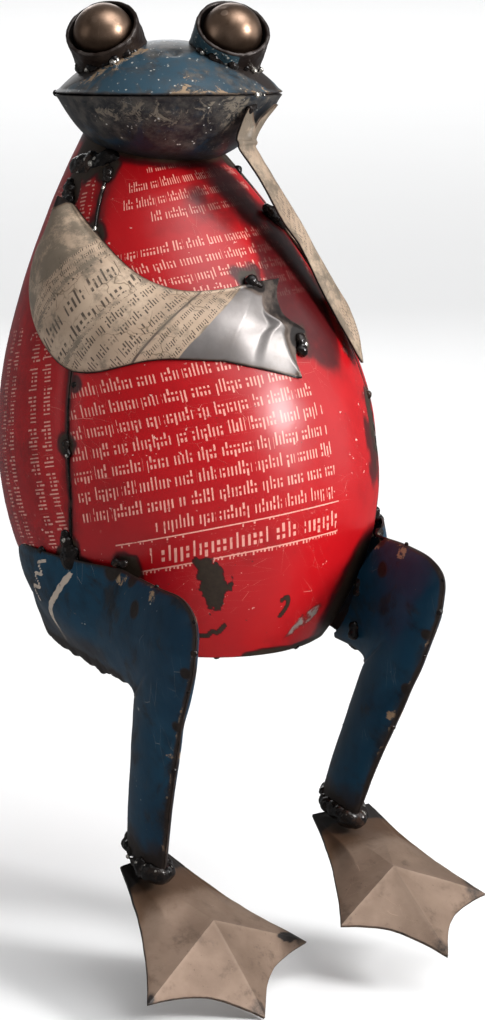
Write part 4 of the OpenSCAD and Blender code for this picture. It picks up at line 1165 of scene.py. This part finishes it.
def leg(s):
    side = "left" if s > 0 else "right"
    for which in ("outer", "inner"):
        n, m = (260, 72) if which == "outer" else (200, 72)
        u0 = 0.0 if which == "outer" else 0.36
        u = (u0 + (1 - u0) * np.linspace(0, 1, n + 1))[:, None]
        v = (0.5 - 0.5 * np.cos(np.pi * np.linspace(0, 1, m + 1)))[None, :]
        v = lerp(v, np.linspace(0, 1, m + 1)[None, :], 0.35)
        q = lerp(cr(LEG_TOP[s], u[:, 0])[:, None, :], cr(LEG_LOW, u[:, 0])[:, None, :], v[..., None])
        q = leg_shift(s, q)
        F, Z = q[..., 0], q[..., 1]
        c = np.sin(np.pi * v) + 0 * u
        if which == "outer":
            base = leg_mid(s, Z)
            b = c ** 0.55 * leg_t(Z) * np.minimum(1, 0.35 + u * 6)
            onb = body_lat(s, F, Z) + 1.3 + TIN + 4.5 * v + (3.0 + 5 * v) * c ** 0.7
            lat = smax(base + 0.2 + b, onb, 5.0)
        else:
            lat = leg_mid(s, Z) - 0.2 - c ** 0.55 * leg_t(Z)
        P = leg_pt(s, lat, F, Z)
        e = np.minimum(v, 1 - v) + 0 * u
        U = u + 0 * v
        V = v + 0 * u
        width = np.linalg.norm(P[:, -1] - P[:, 0], axis=-1)[:, None]
        em = e * width
        sg = s * (1 if which == "outer" else -1)
        N = grid_normals(P)
        N = N * np.sign((N[..., 0] * sg).mean() + 1e-9)
        d = 0.50 * vnoise(P + 40 * s, 34, 301 + (which == "inner"), 3) * sstep(0, 5, em) + 0.12 * vnoise(P,
            9, 305, 2)
        d = d - 0.8 * np.exp(-((U - 0.80) / 0.02) ** 2 - ((V - 0.2) / 0.2) ** 2) - 0.7 * np.exp(-((U - 0.63)
            / 0.02) ** 2 - ((V - 0.8) / 0.2) ** 2)
        P = P + N * (d - 0.1)[..., None]
        if which == "outer":
            # burnt ragged lower edge of the haunch
            P[..., 2] -= np.maximum(0, 2.0 + 2.2 * vnoise(P * [0, 1, 0], 6, 309, 3)) * sstep(0.90, 1,
                V) * sstep(0.08, 0.16, U) * fade(0.40, 0.50, U)
        def far_from(along, across):
            i = min(max(int((along - u0) / (1 - u0) * n), 0), n)
            return np.linalg.norm(P - P[i, int(across * m)], axis=-1)
        marks = np.zeros(P.shape)
        n1 = vnoise(P, 10, 311, 3)
        soot = 0.64 * fade(0.0, 1.4, em + 0.6 * n1) + 0.22 * fade(0, 8, em)
        soot = np.maximum(soot, 0.98 * sstep(0.935, 0.998, U + 0.012 * n1))
        spots = [(0.70, 0.08, 3.2), (0.80, 0.05, 3.2), (0.42, 0.30, 4.5), (0.90, 0.9, 3.0),
            (0.66, 0.93, 2.6), (0.30, 0.05, 5.0), (0.36, 0.06, 4.0)]
        for along, across, reach in spots:
            dist = far_from(along, across)
            soot = np.maximum(soot, 0.95 * fade(0.55, 1.2, dist / reach + 0.3 * n1))
        if which == "outer":
            soot = np.maximum(soot, 0.80 * sstep(0.55, 0.92, V) * fade(0.28, 0.50, U) * (0.75 + 0.5 * n1))
            soot = np.maximum(soot, 0.9 * fade(0.0, 0.05, U))
            soot = np.maximum(soot, 1.0 * sstep(0.86, 0.95, V + 0.05 * n1) * sstep(0.06, 0.12, U)
                * fade(0.42, 0.50, U))
        marks[..., 0] = soot
        marks[..., 1] = np.clip(0.25 + 0.5 * fade(0, 5, em) + 0.4 * n1, 0, 1)
        ex = 0.60 * fade(0.4, 1.8, em) * (0.35 + 0.8 * (n1 > 0.05))
        for along, across, reach in ((0.33, 0.10, 5.75), (0.435, 0.13, 5.25), (0.84, 0.10, 3.5)):
            dist = far_from(along, across)
            ex = np.maximum(ex, 1.0 * fade(0.4, 1.1, dist / reach + 0.4 * n1))
        marks[..., 2] = ex
        stripe = np.zeros(U.shape)
        if which == "outer":
            # pale stripe and a hand-painted curl on the haunch
            for line, wd in HAUNCH_LINES:
                qq = cr(np.array(line, float), np.linspace(0, 1, 90))
                near = U < 0.5
                fs, zs = F[near], Z[near]
                dd = np.full(fs.shape, 50.0)
                for (f0, z0) in qq:
                    dd = np.minimum(dd, np.hypot(fs - f0, zs - z0))
                st = np.zeros(U.shape)
                st[near] = 1 - sstep(wd - 0.35, wd + 0.35, dd)
                stripe = np.maximum(stripe, st)
        name = "%s_leg_%s" % (side, which)
        Q = P - N * TIN
        ob = sheet(name + ".sheet", P, TIN, 1, BLUE_LEG, name, marks,
            np.stack([stripe, U], -1), inner=Q)
        if which == "inner":
            # open the shell where it runs into the body
            bm = bmesh.new()
            bm.from_mesh(ob.data)
            kill = []
            for fc in bm.faces:
                inside = True
                for vt in fc.verts:
                    p = vt.co / MM
                    z = p.z - DROP
                    f = -p.y
                    lat = s * (p.x + SHIFT)
                    if lat > float(body_lat(s, np.array(f), np.array(z))) - 3.0:
                        inside = False
                        break
                if inside:
                    kill.append(fc)
            bmesh.ops.delete(bm, geom=kill, context="FACES")
            bm.to_mesh(ob.data)
            bm.free()
for s in (-1, 1):
    leg(s)

# ---------------------------------------------------------------- feet
# per foot: heel place, turn, nose-down angle, half heel, middle toe, side toes, their angle, apex
POSE = {-1: ([-56.8, -40.0, -84.6], 19.4, 35.8, 13.9, 93.2, 83.7, 37.0, (0.5, 46.0)),
    1: ([44.2, -40.1, -76.4], 4.1, 26.1, 15.5, 97.7, 78.6, 30.1, (-4.0, 50.0))}
# thickness of the foot plate and rise of its ridges
FT, FR = 1.2, 11.0

def foot(s):
    side = "left" if s > 0 else "right"
    org, yaw, nose, w, L, S, spread, ap = POSE[s]
    spread = math.radians(spread)
    h0, h1 = np.array([-w, 0.0]), np.array([w, 0.0])
    t0, t1, t2 = np.array([-S * math.sin(spread), S * math.cos(spread)]), np.array([0.0, L]), np.array(
        [S * math.sin(spread), S * math.cos(spread)])
    ap = np.array(ap)
    def arc(a, b, k, n):
        t = np.linspace(0, 1, n, endpoint=False)[:, None]
        p = lerp(a, b, t)
        return p + (ap - p) * k * 4 * t * (1 - t)
    rim = np.vstack([arc(h1, t2, 0.10, 60), arc(t2, t1, 0.17, 50), arc(t1, t0, 0.17, 50),
        arc(t0, h0, 0.10, 60), lerp(h0, h1, np.linspace(0, 1, 24, endpoint=False)[:, None])])
    # snip marks along the cut edge
    nrm = rim - rim.mean(0)
    nrm /= np.linalg.norm(nrm, axis=1, keepdims=True)
    R3 = np.concatenate([rim, np.zeros((len(rim), 1))], 1)
    rim = rim - nrm * (0.35 + 0.35 * vnoise(R3 + 90 * s, 7, 401, 2)[:, None])
    rim = np.vstack([rim, rim[:1]])
    nr = 56
    t = np.linspace(0, 1, nr)[:, None, None]
    q = lerp(rim[None], ap, t)
    T = np.broadcast_to(t[..., 0], q.shape[:2])
    z = FR * T ** 0.9
    half = lerp(w, abs(t0[0]), np.clip(q[..., 1] / t0[1], 0, 1))
    hump = FR * sstep(-0.05 * L, ap[1], q[..., 1]) * np.clip(1
        - ((q[..., 0] - ap[0] * np.clip(q[..., 1] / ap[1], 0, 1)) / np.maximum(half, 1)) ** 2, 0, 1) ** 0.8
    bk = 1 - sstep(ap[1] - 30, ap[1] - 1, q[..., 1])
    z = lerp(z, np.minimum(hump, FR * sstep(0, 0.55, T)), bk)
    P = np.concatenate([q, z[..., None]], -1)
    n = vnoise(P + 60 * s, 20, 403, 3)
    inland = 1 - sstep(0.9, 1, T)
    P[..., 2] += (0.45 * n + 0.12 * vnoise(P, 6, 405, 2)) * inland - 0.25
    # toe tips curl down a little
    tips = [t0, t1, t2]
    tipd = np.min([np.hypot(q[..., 0] - a[0], q[..., 1] - a[1]) for a in tips], axis=0)
    P[..., 2] -= 0.3 * fade(0, 9, tipd)
    m = np.zeros(P.shape)
    n1 = vnoise(P, 8, 407, 3)
    heel = q[..., 1]
    soot = 0.55 * fade(0.0, 0.022, T) + 0.95 * fade(4, 14, heel + 3 * n1) + 0.35 * fade(8, 30, heel + 4 * n1)
    sc = [(t0[0] * 0.96, t0[1] * 0.97, 7), (t1[0], t1[1] - 3, 7), (t2[0] * 0.9, t2[1] * 0.965, 9)]
    for (x, y, rr) in sc:
        soot = np.maximum(soot, 0.60 * fade(0.2, 1.0, np.hypot(q[..., 0] - x, q[..., 1] - y) / rr + 0.9 * n1))
    fl = np.hypot((q[..., 0] - t2[0] * 0.84) / 10.0, (q[..., 1] - t2[1] * 0.93) / 3.2)
    soot = np.maximum(soot, (s < 0) * 0.85 * fade(0.6, 1.1, fl + 0.5 * vnoise(P, 3, 409, 3)))
    m[..., 0] = soot
    m[..., 1] = np.clip(1.0 * fade(14, 42, heel + 5 * n1) + 0.25 * n1 + 0.25 * fade(0, 0.12, T), 0, 1)
    # the three ridges are painted lighter, a painted highlight along each; the webs in front of the apex are
    # a touch lighter
    ridge = np.zeros(T.shape)
    for a in tips:
        dr = (a - ap) / np.linalg.norm(a - ap)
        rel = q - ap
        al = rel @ dr
        ac = np.abs(rel[..., 0] * dr[1] - rel[..., 1] * dr[0])
        ridge = np.maximum(ridge, np.where(al > -1, 1 - sstep(0.4, 3.0, ac), 0))
    webs = sstep(ap[1] - 6, ap[1] + 10, q[..., 1]) * 0.05
    m[..., 2] = np.clip(np.maximum(ridge * 0.30, webs), 0, 1)
    M = rz(yaw) @ rx(nose)
    mir = np.diag([1.0, -1.0, 1.0])
    W = P @ mir.T @ M.T + np.array(org)
    D = P.copy()
    D[..., 2] -= FT
    D = D @ mir.T @ M.T + np.array(org)
    # grid runs rim to apex; close the last ring on the apex
    up = (np.array([0, 0, 1.0]) @ mir.T @ M.T)
    rings, around = W.shape[:2]
    V = np.concatenate([W.reshape(-1, 3), D.reshape(-1, 3)])
    o = rings * around
    top = np.roll(np.stack(cells(rings, around)[::-1], 1), 1, 1)
    bot = np.stack(cells(rings, around, o), 1)
    j = np.arange(around - 1)
    rimf = np.stack([j, j + 1, o + j + 1, o + j], 1)
    F = np.concatenate([top, bot, rimf])
    f = top[10]
    nn = np.cross(V[f[1]] - V[f[0]], V[f[2]] - V[f[0]]) @ up
    if nn < 0:
        F = F[:, ::-1]
    ob = new_obj(side + "_foot.plate", V, F, FOOT, side + "_foot",
        np.concatenate([m.reshape(-1, 3)] * 2), None, sharp=math.radians(28))
    bm = bmesh.new()
    bm.from_mesh(ob.data)
    bmesh.ops.remove_doubles(bm, verts=bm.verts, dist=1e-6)
    bmesh.ops.recalc_face_normals(bm, faces=bm.faces)
    bm.to_mesh(ob.data)
    bm.free()
for s in (-1, 1):
    foot(s)
left_arm()

# ---------------------------------------------------------------- welds
_ico = {}
def ico(sub):
    if sub not in _ico:
        bm = bmesh.new()
        bmesh.ops.create_icosphere(bm, subdivisions=sub, radius=1.0)
        v = np.array([x.co[:] for x in bm.verts])
        f = np.array([[q.index for q in x.verts] for x in bm.faces])
        bm.free()
        _ico[sub] = (v, f)
    return _ico[sub]

def fuse(name, V, F, bright, node, seed, voxel=0.42, amp=0.34, soft=9):
    """melt overlapping blobs into one lumpy skin; bright is a list of (centre, radius) of pale spots painted
    on as glints
    """
    me = bpy.data.meshes.new("blobs")
    me.from_pydata((V * MM).tolist(), [], F.tolist())
    me.update()
    tmp = bpy.data.objects.new("blobs", me)
    put(tmp)
    md = tmp.modifiers.new("fuse", "REMESH")
    md.mode = "VOXEL"
    md.voxel_size = voxel * MM
    out = bpy.data.meshes.new_from_object(tmp.evaluated_get(bpy.context.evaluated_depsgraph_get()))
    bpy.data.objects.remove(tmp)
    bpy.data.meshes.remove(me)
    W = np.zeros(len(out.vertices) * 3)
    out.vertices.foreach_get("co", W)
    W = W.reshape(-1, 3) / MM
    E = np.zeros(len(out.edges) * 2, np.int64)
    out.edges.foreach_get("vertices", E)
    E = E.reshape(-1, 2)
    Fs = [list(q.vertices) for q in out.polygons]
    deg = np.bincount(E.ravel(), minlength=len(W))[:, None]
    for _ in range(soft):
        acc = np.zeros(W.shape)
        for k in range(3):
            acc[:, k] = np.bincount(E[:, 0], W[E[:, 1], k], len(W)) + np.bincount(E[:, 1], W[E[:, 0], k],
                len(W))
        W = 0.45 * W + 0.55 * acc / deg
    out.vertices.foreach_set("co", (W * MM).ravel())
    out.update()
    N = np.zeros(len(W) * 3)
    out.vertices.foreach_get("normal", N)
    N = N.reshape(-1, 3)
    bpy.data.meshes.remove(out)
    W = W + N * (amp * vnoise(W, 2.6, seed, 3) + 0.10 * vnoise(W, 0.9, seed + 3, 2))[:, None]
    m = np.zeros(W.shape)
    n = vnoise(W, 1.1, seed + 5, 2)
    for c, r in bright:
        m[:, 2] = np.maximum(m[:, 2], 1 - sstep(0.75, 1.15, np.linalg.norm(W - np.array(c, float), axis=1)
            / r + 0.35 * n))
    return new_obj(name, W, Fs, WELD, node, m, None)

def blobs(beads, seed, rough=0.30, sub=3):
    VV, FF = [], []
    o = 0
    for i, b in enumerate(beads):
        c, r = np.array(b[0], float), b[1]
        v, f = ico(sub)
        k = 1 + rough * vnoise(v * r + c, max(r * 1.3, 1.6), seed + i, 2)
        VV.append(v * (r * k)[:, None] + c)
        FF.append(f + o)
        o += len(v)
    return np.vstack(VV), np.vstack(FF)

def lumps(name, beads, node, seed, rough=0.30, soft=9):
    """fused blobs of weld metal: each entry is (centre, radius) or (centre, radius, brightness); brightness
    over 0.5 paints a glint
    """
    V, F = blobs(beads, seed, rough)
    return fuse(name, V, F, [(b[0], b[1] * 1.15) for b in beads if len(b) > 2 and b[2] > 0.5], node, seed,
        soft=soft)

def tube(pts, rad, seed):
    """a thin uneven bead laid along a line"""
    pts = np.array(pts, float)
    n = len(pts)
    k = 12
    tg = np.gradient(pts, axis=0)
    tg /= np.linalg.norm(tg, axis=1, keepdims=True)
    ref = np.array([0.3, 0.2, 0.93])
    a = np.cross(tg, ref)
    a /= np.linalg.norm(a, axis=1, keepdims=True)
    b = np.cross(tg, a)
    th = np.linspace(0, 2 * np.pi, k, endpoint=False)
    rr = rad * (1 + 0.45 * vnoise(pts, 3.0, seed, 3))
    rr = rr * np.clip(np.minimum(np.arange(n), np.arange(n)[::-1]) / 3.0, 0.05, 1)
    V = pts[:, None, :] + rr[:, None, None] * (np.cos(th)[None, :, None] * a[:, None, :] + np.sin(th)[None,
        :, None] * b[:, None, :])
    V = V + 0.12 * rad * vnoise(V, 1.2, seed + 1, 2)[..., None]
    F = [(i * k + j, i * k + (j + 1) % k, (i + 1) * k + (j + 1) % k, (i + 1) * k + j) for i in range(n - 1)
        for j in range(k)]
    return V.reshape(-1, 3), F

def seam_welds():
    VV, FF = [], []
    o = 0
    bright = []
    def gather(V, F):
        nonlocal o
        VV.append(V)
        FF.extend([tuple(x + o for x in f) for f in F])
        o += len(V)
    seams = [(seam_right, 182, 214, 0.75), (seam_right, 56, 70, 0.8), (seam_right, 72, 118, 0.5),
        (seam_left, 180, 204, 0.7), (seam_left, 50, 90, 0.6), (seam_back, 60, 90, 0.6),
        (seam_back, 150, 196, 0.6)]
    for i, (fn, a, b, rad) in enumerate(seams):
        h = np.linspace(a, b, int((b - a) * 2.2))
        th = fn(h) + 0.35 * vnoise(np.stack([h, h * 0, h * 0], -1), 5, 500 + i, 2)
        V, F = tube(skin(th, h, 0.15 + 0 * h), rad, 510 + i)
        gather(V, F)
        if i == 0:
            # two painted glints on the seam run
            bright += [(skin(float(seam_right(x)), x, 0.6), 0.6) for x in (188.5, 206)]
    m = np.zeros((o, 3))
    W = np.vstack(VV)
    n = vnoise(W, 3.0, 520, 2)
    for c, r in bright:
        m[:, 2] = np.maximum(m[:, 2], 1 - sstep(0.8, 1.6, np.linalg.norm(W - c, axis=1) / (r * 1.4) + 0.3
            * n))
    new_obj("body_seam_welds.run", W, FF, WELD, "body_seam_welds", m, None)
    tacks = [(-47.6, 213, 3.0), (-48.4, 210, 2.4), (-52.6, 185, 2.8), (-52.4, 181.5, 2.3),
        (-57.5, 122, 1.6), (-61.7, 97, 2.4), (-61.5, 93, 2.2), (-68.6, 58.5, 2.2), (-68.8, 55, 3.2),
        (-69.2, 50.5, 4.0), (-69.5, 46, 4.3), (-69.9, 41.5, 4.2), (-70.2, 38, 3.0), (-72.6, 47, 3.0),
        (-66.6, 50, 2.6), (-72.4, 42.5, 3.0), (57, 206, 2.6), (58, 150, 2.4), (58.7, 96, 2.4),
        (59.3, 42, 3.0), (180, 200, 2.6), (180, 150, 2.6), (180, 96, 2.6), (180, 40, 3.0)]
    # entries with a third value are painted glints
    lumps("body_seam_welds.tacks", [(skin(t0, h0, 0.1), r) for t0, h0, r in tacks]
        + [(skin(-52.0, 187, 2.0), 1.0, 1.0), (skin(-61.2, 92, 1.9), 0.8, 1.0), (skin(-68.4, 56, 2.7), 0.9,
        1.0)], "body_seam_welds", 530, rough=0.34)
seam_welds()

nk = []
for i, a in enumerate(np.arange(-86, -43, 3.0)):
    nk.append((skin(a, 220.0 + 1.0 * math.sin(i * 2.1), -1.0), 3.6 + 0.7 * math.sin(i * 1.7 + 1)))
for i, a in enumerate(np.arange(-83, -50, 4.2)):
    nk.append((skin(a, 217.0 + 0.8 * math.sin(i * 1.3), -1.8), 3.2 + 0.4 * math.sin(i * 2.3)))
# four painted glints on the neck weld
nk += [(skin(-62, 217.4, 2.0), 1.2, 1.0), (skin(-68, 219.5, 2.4), 0.9, 1.0), (skin(-59, 219, 2.4), 0.8,
    1.0), (skin(-75, 215, 1.4), 0.8, 1.0)]
for a in [62, 66, 70, 74, 78, 138, 142, 146, 150, 154, -138, -142, -146, -150, -154]:
    nk.append((skin(a, 219.5 + 0.8 * math.sin(a), 0.6), 3.4 + 0.6 * math.sin(a * 1.7)))
lumps("neck_welds.beads", nk, "neck_welds", 600, soft=22)
def rim_pt(a, dz=0.5, dr=0.0):
    a = math.radians(a)
    return head_pt(np.array([(RIM + dr) * math.sin(a), -(RIM + dr) * math.cos(a), dz]))
# entries with a third value are painted glints
lumps("mouth_weld.beads", [(rim_pt(51), 1.6, 1.0), (rim_pt(53.5, 0.6), 1.2, 1.0), (rim_pt(176), 1.8),
    (rim_pt(-92), 1.6), (rim_pt(57, 0.2), 0.9, 0.8)], "mouth_weld", 620)
def eye_beads():
    out = []
    for s in (-1, 1):
        M, t = eye_mat(s)
        i = 0
        for ang, r in ((203, 1.7), (211, 1.1), (228, 2.0), (239, 1.2), (256, 1.5), (262, 2.1), (284, 1.2),
            (299, 2.0), (306, 1.3), (324, 1.7), (337, 1.4)):
            th = math.radians(ang)
            def f(z):
                p = M @ np.array([17.2 * math.cos(th), 17.2 * math.sin(th), float(z)]) + t
                return np.array(np.linalg.norm(p - DOME_W) - (DOME_R + 0.4))
            z = float(bisect(f, 0.0, -24.0))
            z = max(min(z, -3.0), -23.0)
            i += 1
            wobble = 0.9 * math.sin(i * 2.7 + s)
            out.append((M @ np.array([16.0 * math.cos(th), 16.0 * math.sin(th), z + wobble - 0.4]) + t,
                r + 0.7))
            # a painted glint beside some of the beads
            if (i in (5, 8, 9) and s < 0) or (i in (2, 8, 10) and s > 0):
                out.append((M @ np.array([18.2 * math.cos(th), 18.2 * math.sin(th), z + 0.8]) + t,
                    1.1 + 0.4 * (i == 8), 1.0))
    return out
lumps("eye_welds.beads", eye_beads(), "eye_welds", 640, rough=0.42)
sh = [(skin(-72.5 - 2.1 * i, 201.0 + 2.7 * i, 0.2), 2.7 + 0.5 * math.sin(i * 3))
    for i in range(5)] + [(skin(-77 - 2.0 * i, 201.5 + 2.7 * i, -0.2), 2.4) for i in range(4)]
A0, A1 = np.array([23.7, -4.2, 199.1]), np.array([33.0, -1.1, 190.1])
sh += [(lerp(A0, A1, i / 5), 2.3 + 0.4 * math.sin(i * 2.3)) for i in range(6)]
lumps("shoulder_welds.beads", sh, "shoulder_welds", 660)
# entries with a third value are painted glints
lumps("hand_welds.beads", [(skin(8.7, 153.8, 1.8), 3.3), (skin(10.5, 151.5, 2.5), 2.0),
    (skin(7.2, 155.6, 2.8), 1.0, 0.8), (skin(19.5, 125.5, 1.4), 3.1), (skin(18.6, 121, 1.4), 2.9),
    (skin(20.2, 123, 3.3), 1.0, 0.8)], "hand_welds", 680)
lumps("chin_weld.beads", [([7.4, -18.3, 244.3], 2.2), ([9.4, -16.9, 245.0], 1.8), ([11.4, -15.6, 245.6],
    1.8)], "chin_weld", 690)
hp, sm = [], []
for s in (-1, 1):
    for (f, z) in [(44, 47), (41, 47.3), (20, 47.5), (17, 47.4), (0, 46.5)]:
        hp.append((leg_pt(s, float(body_lat(s, np.array(float(f)), np.array(float(z)))) + 1.0, f, z + 0.6),
            2.2))
    for (f, z) in [(50, 4), (50, 8), (50, 28), (50, 24)]:
        hp.append((leg_pt(s, float(leg_mid(s, z) - leg_t(z)) + 0.5, f + 1, z), 2.6))
    for u in (0.42, 0.58, 0.66, 0.74, 0.86):
        q = leg_shift(s, cr(LEG_TOP[s], np.array([u])))[0]
        sm.append((leg_pt(s, float(leg_mid(s, q[1])), q[0] - 0.5, q[1]), 1.5 + 0.3 * math.sin(u * 40)))
    for u in (0.6, 0.72, 0.86):
        q = leg_shift(s, cr(LEG_LOW, np.array([u])))[0]
        sm.append((leg_pt(s, float(leg_mid(s, q[1])), q[0] + 0.4, q[1]), 1.5))
lumps("hip_welds.beads", hp, "hip_welds", 700)
lumps("leg_seam_welds.beads", sm, "leg_seam_welds", 720)
ak = []
for s in (-1, 1):
    a = leg_shift(s, np.array([LEG_TOP[s][14]], float))[0]
    b = leg_shift(s, np.array([LEG_LOW[14]], float))[0]
    c = (a + b) / 2
    def round_ankle(th, out, wide, dz, deep=0.9):
        """a point on the ring of weld at turn th, pushed out sideways by out"""
        reach = (c[0] + (a[0] - c[0]) * math.cos(th) * wide, c[1] + (a[1] - c[1]) * math.cos(th) * deep + dz)
        return leg_pt(s, float(leg_mid(s, c[1])) + (AT + out) * math.sin(th), *reach)
    for i in range(14):
        th = math.radians(i * 360 / 14 + 8)
        r = 2.5 + 1.9 * math.sin(i * 2.6 + s) ** 2
        ak.append((round_ankle(th, -0.8, 0.88, math.sin(i * 1.9) - 1.0, 0.8), r))
    for (dth, dz, r) in ((35, 0.5, 4.6), (8, 0.4, 4.8), (60, 1.2, 4.0), (335, 0.6, 4.6), (310, 1.6, 3.6)):
        th = math.radians(dth)
        ak.append((round_ankle(th, -0.2, 0.90, dz), r))
    # small painted glints on the ankle welds
    for (dth, dz, r) in ((22, 2.6, 1.3), (66, 2.2, 1.1), (94, 0.6, 1.2), (48, 3.6, 0.7), (330, 2.4, 1.2)):
        th = math.radians(dth)
        ak.append((leg_pt(s, float(leg_mid(s, c[1])) + (AT + 2.6) * math.sin(th),
            c[0] + ((a[0] - c[0]) * 0.90 + 3.0) * math.cos(th), c[1] + (a[1] - c[1]) * math.cos(th) * 0.9
            + dz), r, 1.0))
lumps("ankle_welds.beads", ak, "ankle_welds", 740, rough=0.26, soft=11)
st = []
for a in [25, 80, 130, 180, 230, 280, 335]:
    r = 56 - 10.5 * math.cos(math.radians(a))
    st.append(([r * math.sin(math.radians(a)) - 1, -r * math.cos(math.radians(a)), (r - FLAT) / DISH + 1],
        2.0))
lumps("seat_welds.beads", st, "seat_welds", 780)

# ---------------------------------------------------------------- floor, light, camera
def plain(name, col, rough):
    t = NT(name)
    n = t.noise(3.0, 3, 0.5)
    c = t.mix(n, tuple(x * 0.985 for x in col), col)
    return t.done(c, rough, 0.0, t.bump(t.noise(900, 2, 0.5), 0.02, 0.0005), spec=0.2)
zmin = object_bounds()[0][2]
me = bpy.data.meshes.new("floor")
FLOOR_HALF = 30.0
me.from_pydata([(-FLOOR_HALF, -FLOOR_HALF, zmin - 0.0005), (FLOOR_HALF, -FLOOR_HALF, zmin - 0.0005),
    (FLOOR_HALF, FLOOR_HALF, zmin - 0.0005), (-FLOOR_HALF, FLOOR_HALF, zmin - 0.0005)], [], [(0, 1, 2, 3)])
me.update()
floor = bpy.data.objects.new("floor", me)
put(floor)
me.materials.append(plain("pale floor", (0.86, 0.86, 0.86), 0.85))

def area(name, at, to, size, power, size_y=None):
    lamp = bpy.data.lights.new(name, "AREA")
    lamp.energy = power
    lamp.size = size
    if size_y:
        lamp.shape = "RECTANGLE"
        lamp.size_y = size_y
    o = bpy.data.objects.new(name, lamp)
    o.location = at
    o.rotation_euler = (Vector(to) - Vector(at)).to_track_quat("-Z", "Y").to_euler()
    put(o)
    return o
for settings in [
        ("key", (0.92, -1.24, 0.66), (0, 0, 0.10), 0.40, 28),
        ("left side", (-1.45, 0.25, 0.45), (0, 0, 0.12), 0.8, 1.1),
        ("right side", (1.42, -0.42, 0.44), (0, 0, 0.10), 0.75, 3, 1.0),
        ("top", (0.1, -0.55, 1.6), (0, 0, 0.12), 1.1, 6),
        ("back", (0.5, 1.5, 0.8), (0, 0, 0.1), 0.9, 5)]:
    area(*settings)
# these two only whiten the floor behind the figure; neither they nor the floor mirror in its paint
for o in (area("far floor 1", (2.6, 5.0, 3.5), (2.6, 5.0, 0), 7.0, 150),
    area("far floor 2", (6.0, 12.0, 5.0), (6.0, 12.0, 0), 10.0, 340), floor):
    o.visible_glossy = False
sun = bpy.data.lights.new("soft sky", "SUN")
sun.energy = 1.5
sun.angle = math.radians(50)
so = bpy.data.objects.new("soft sky", sun)
so.rotation_euler = (math.radians(30), math.radians(26), 0)
put(so)
w = bpy.data.worlds.new("studio")
bpy.context.scene.world = w
w.use_nodes = True
bg = w.node_tree.nodes["Background"]
bg.inputs[0].default_value = (0.97, 0.98, 1.0, 1)
bg.inputs[1].default_value = 0.17
bpy.context.scene.view_settings.view_transform = "Standard"

cam = bpy.data.cameras.new("camera")
cam.sensor_width = 36
cam.lens = 98.12
cam.clip_end = 30
cam.clip_start = 0.05
co = bpy.data.objects.new("camera", cam)
co.location = (-0.55417, -1.11415, 0.335)
co.rotation_euler = (math.radians(77.6), 0, math.radians(-27))
put(co)
bpy.context.scene.camera = co
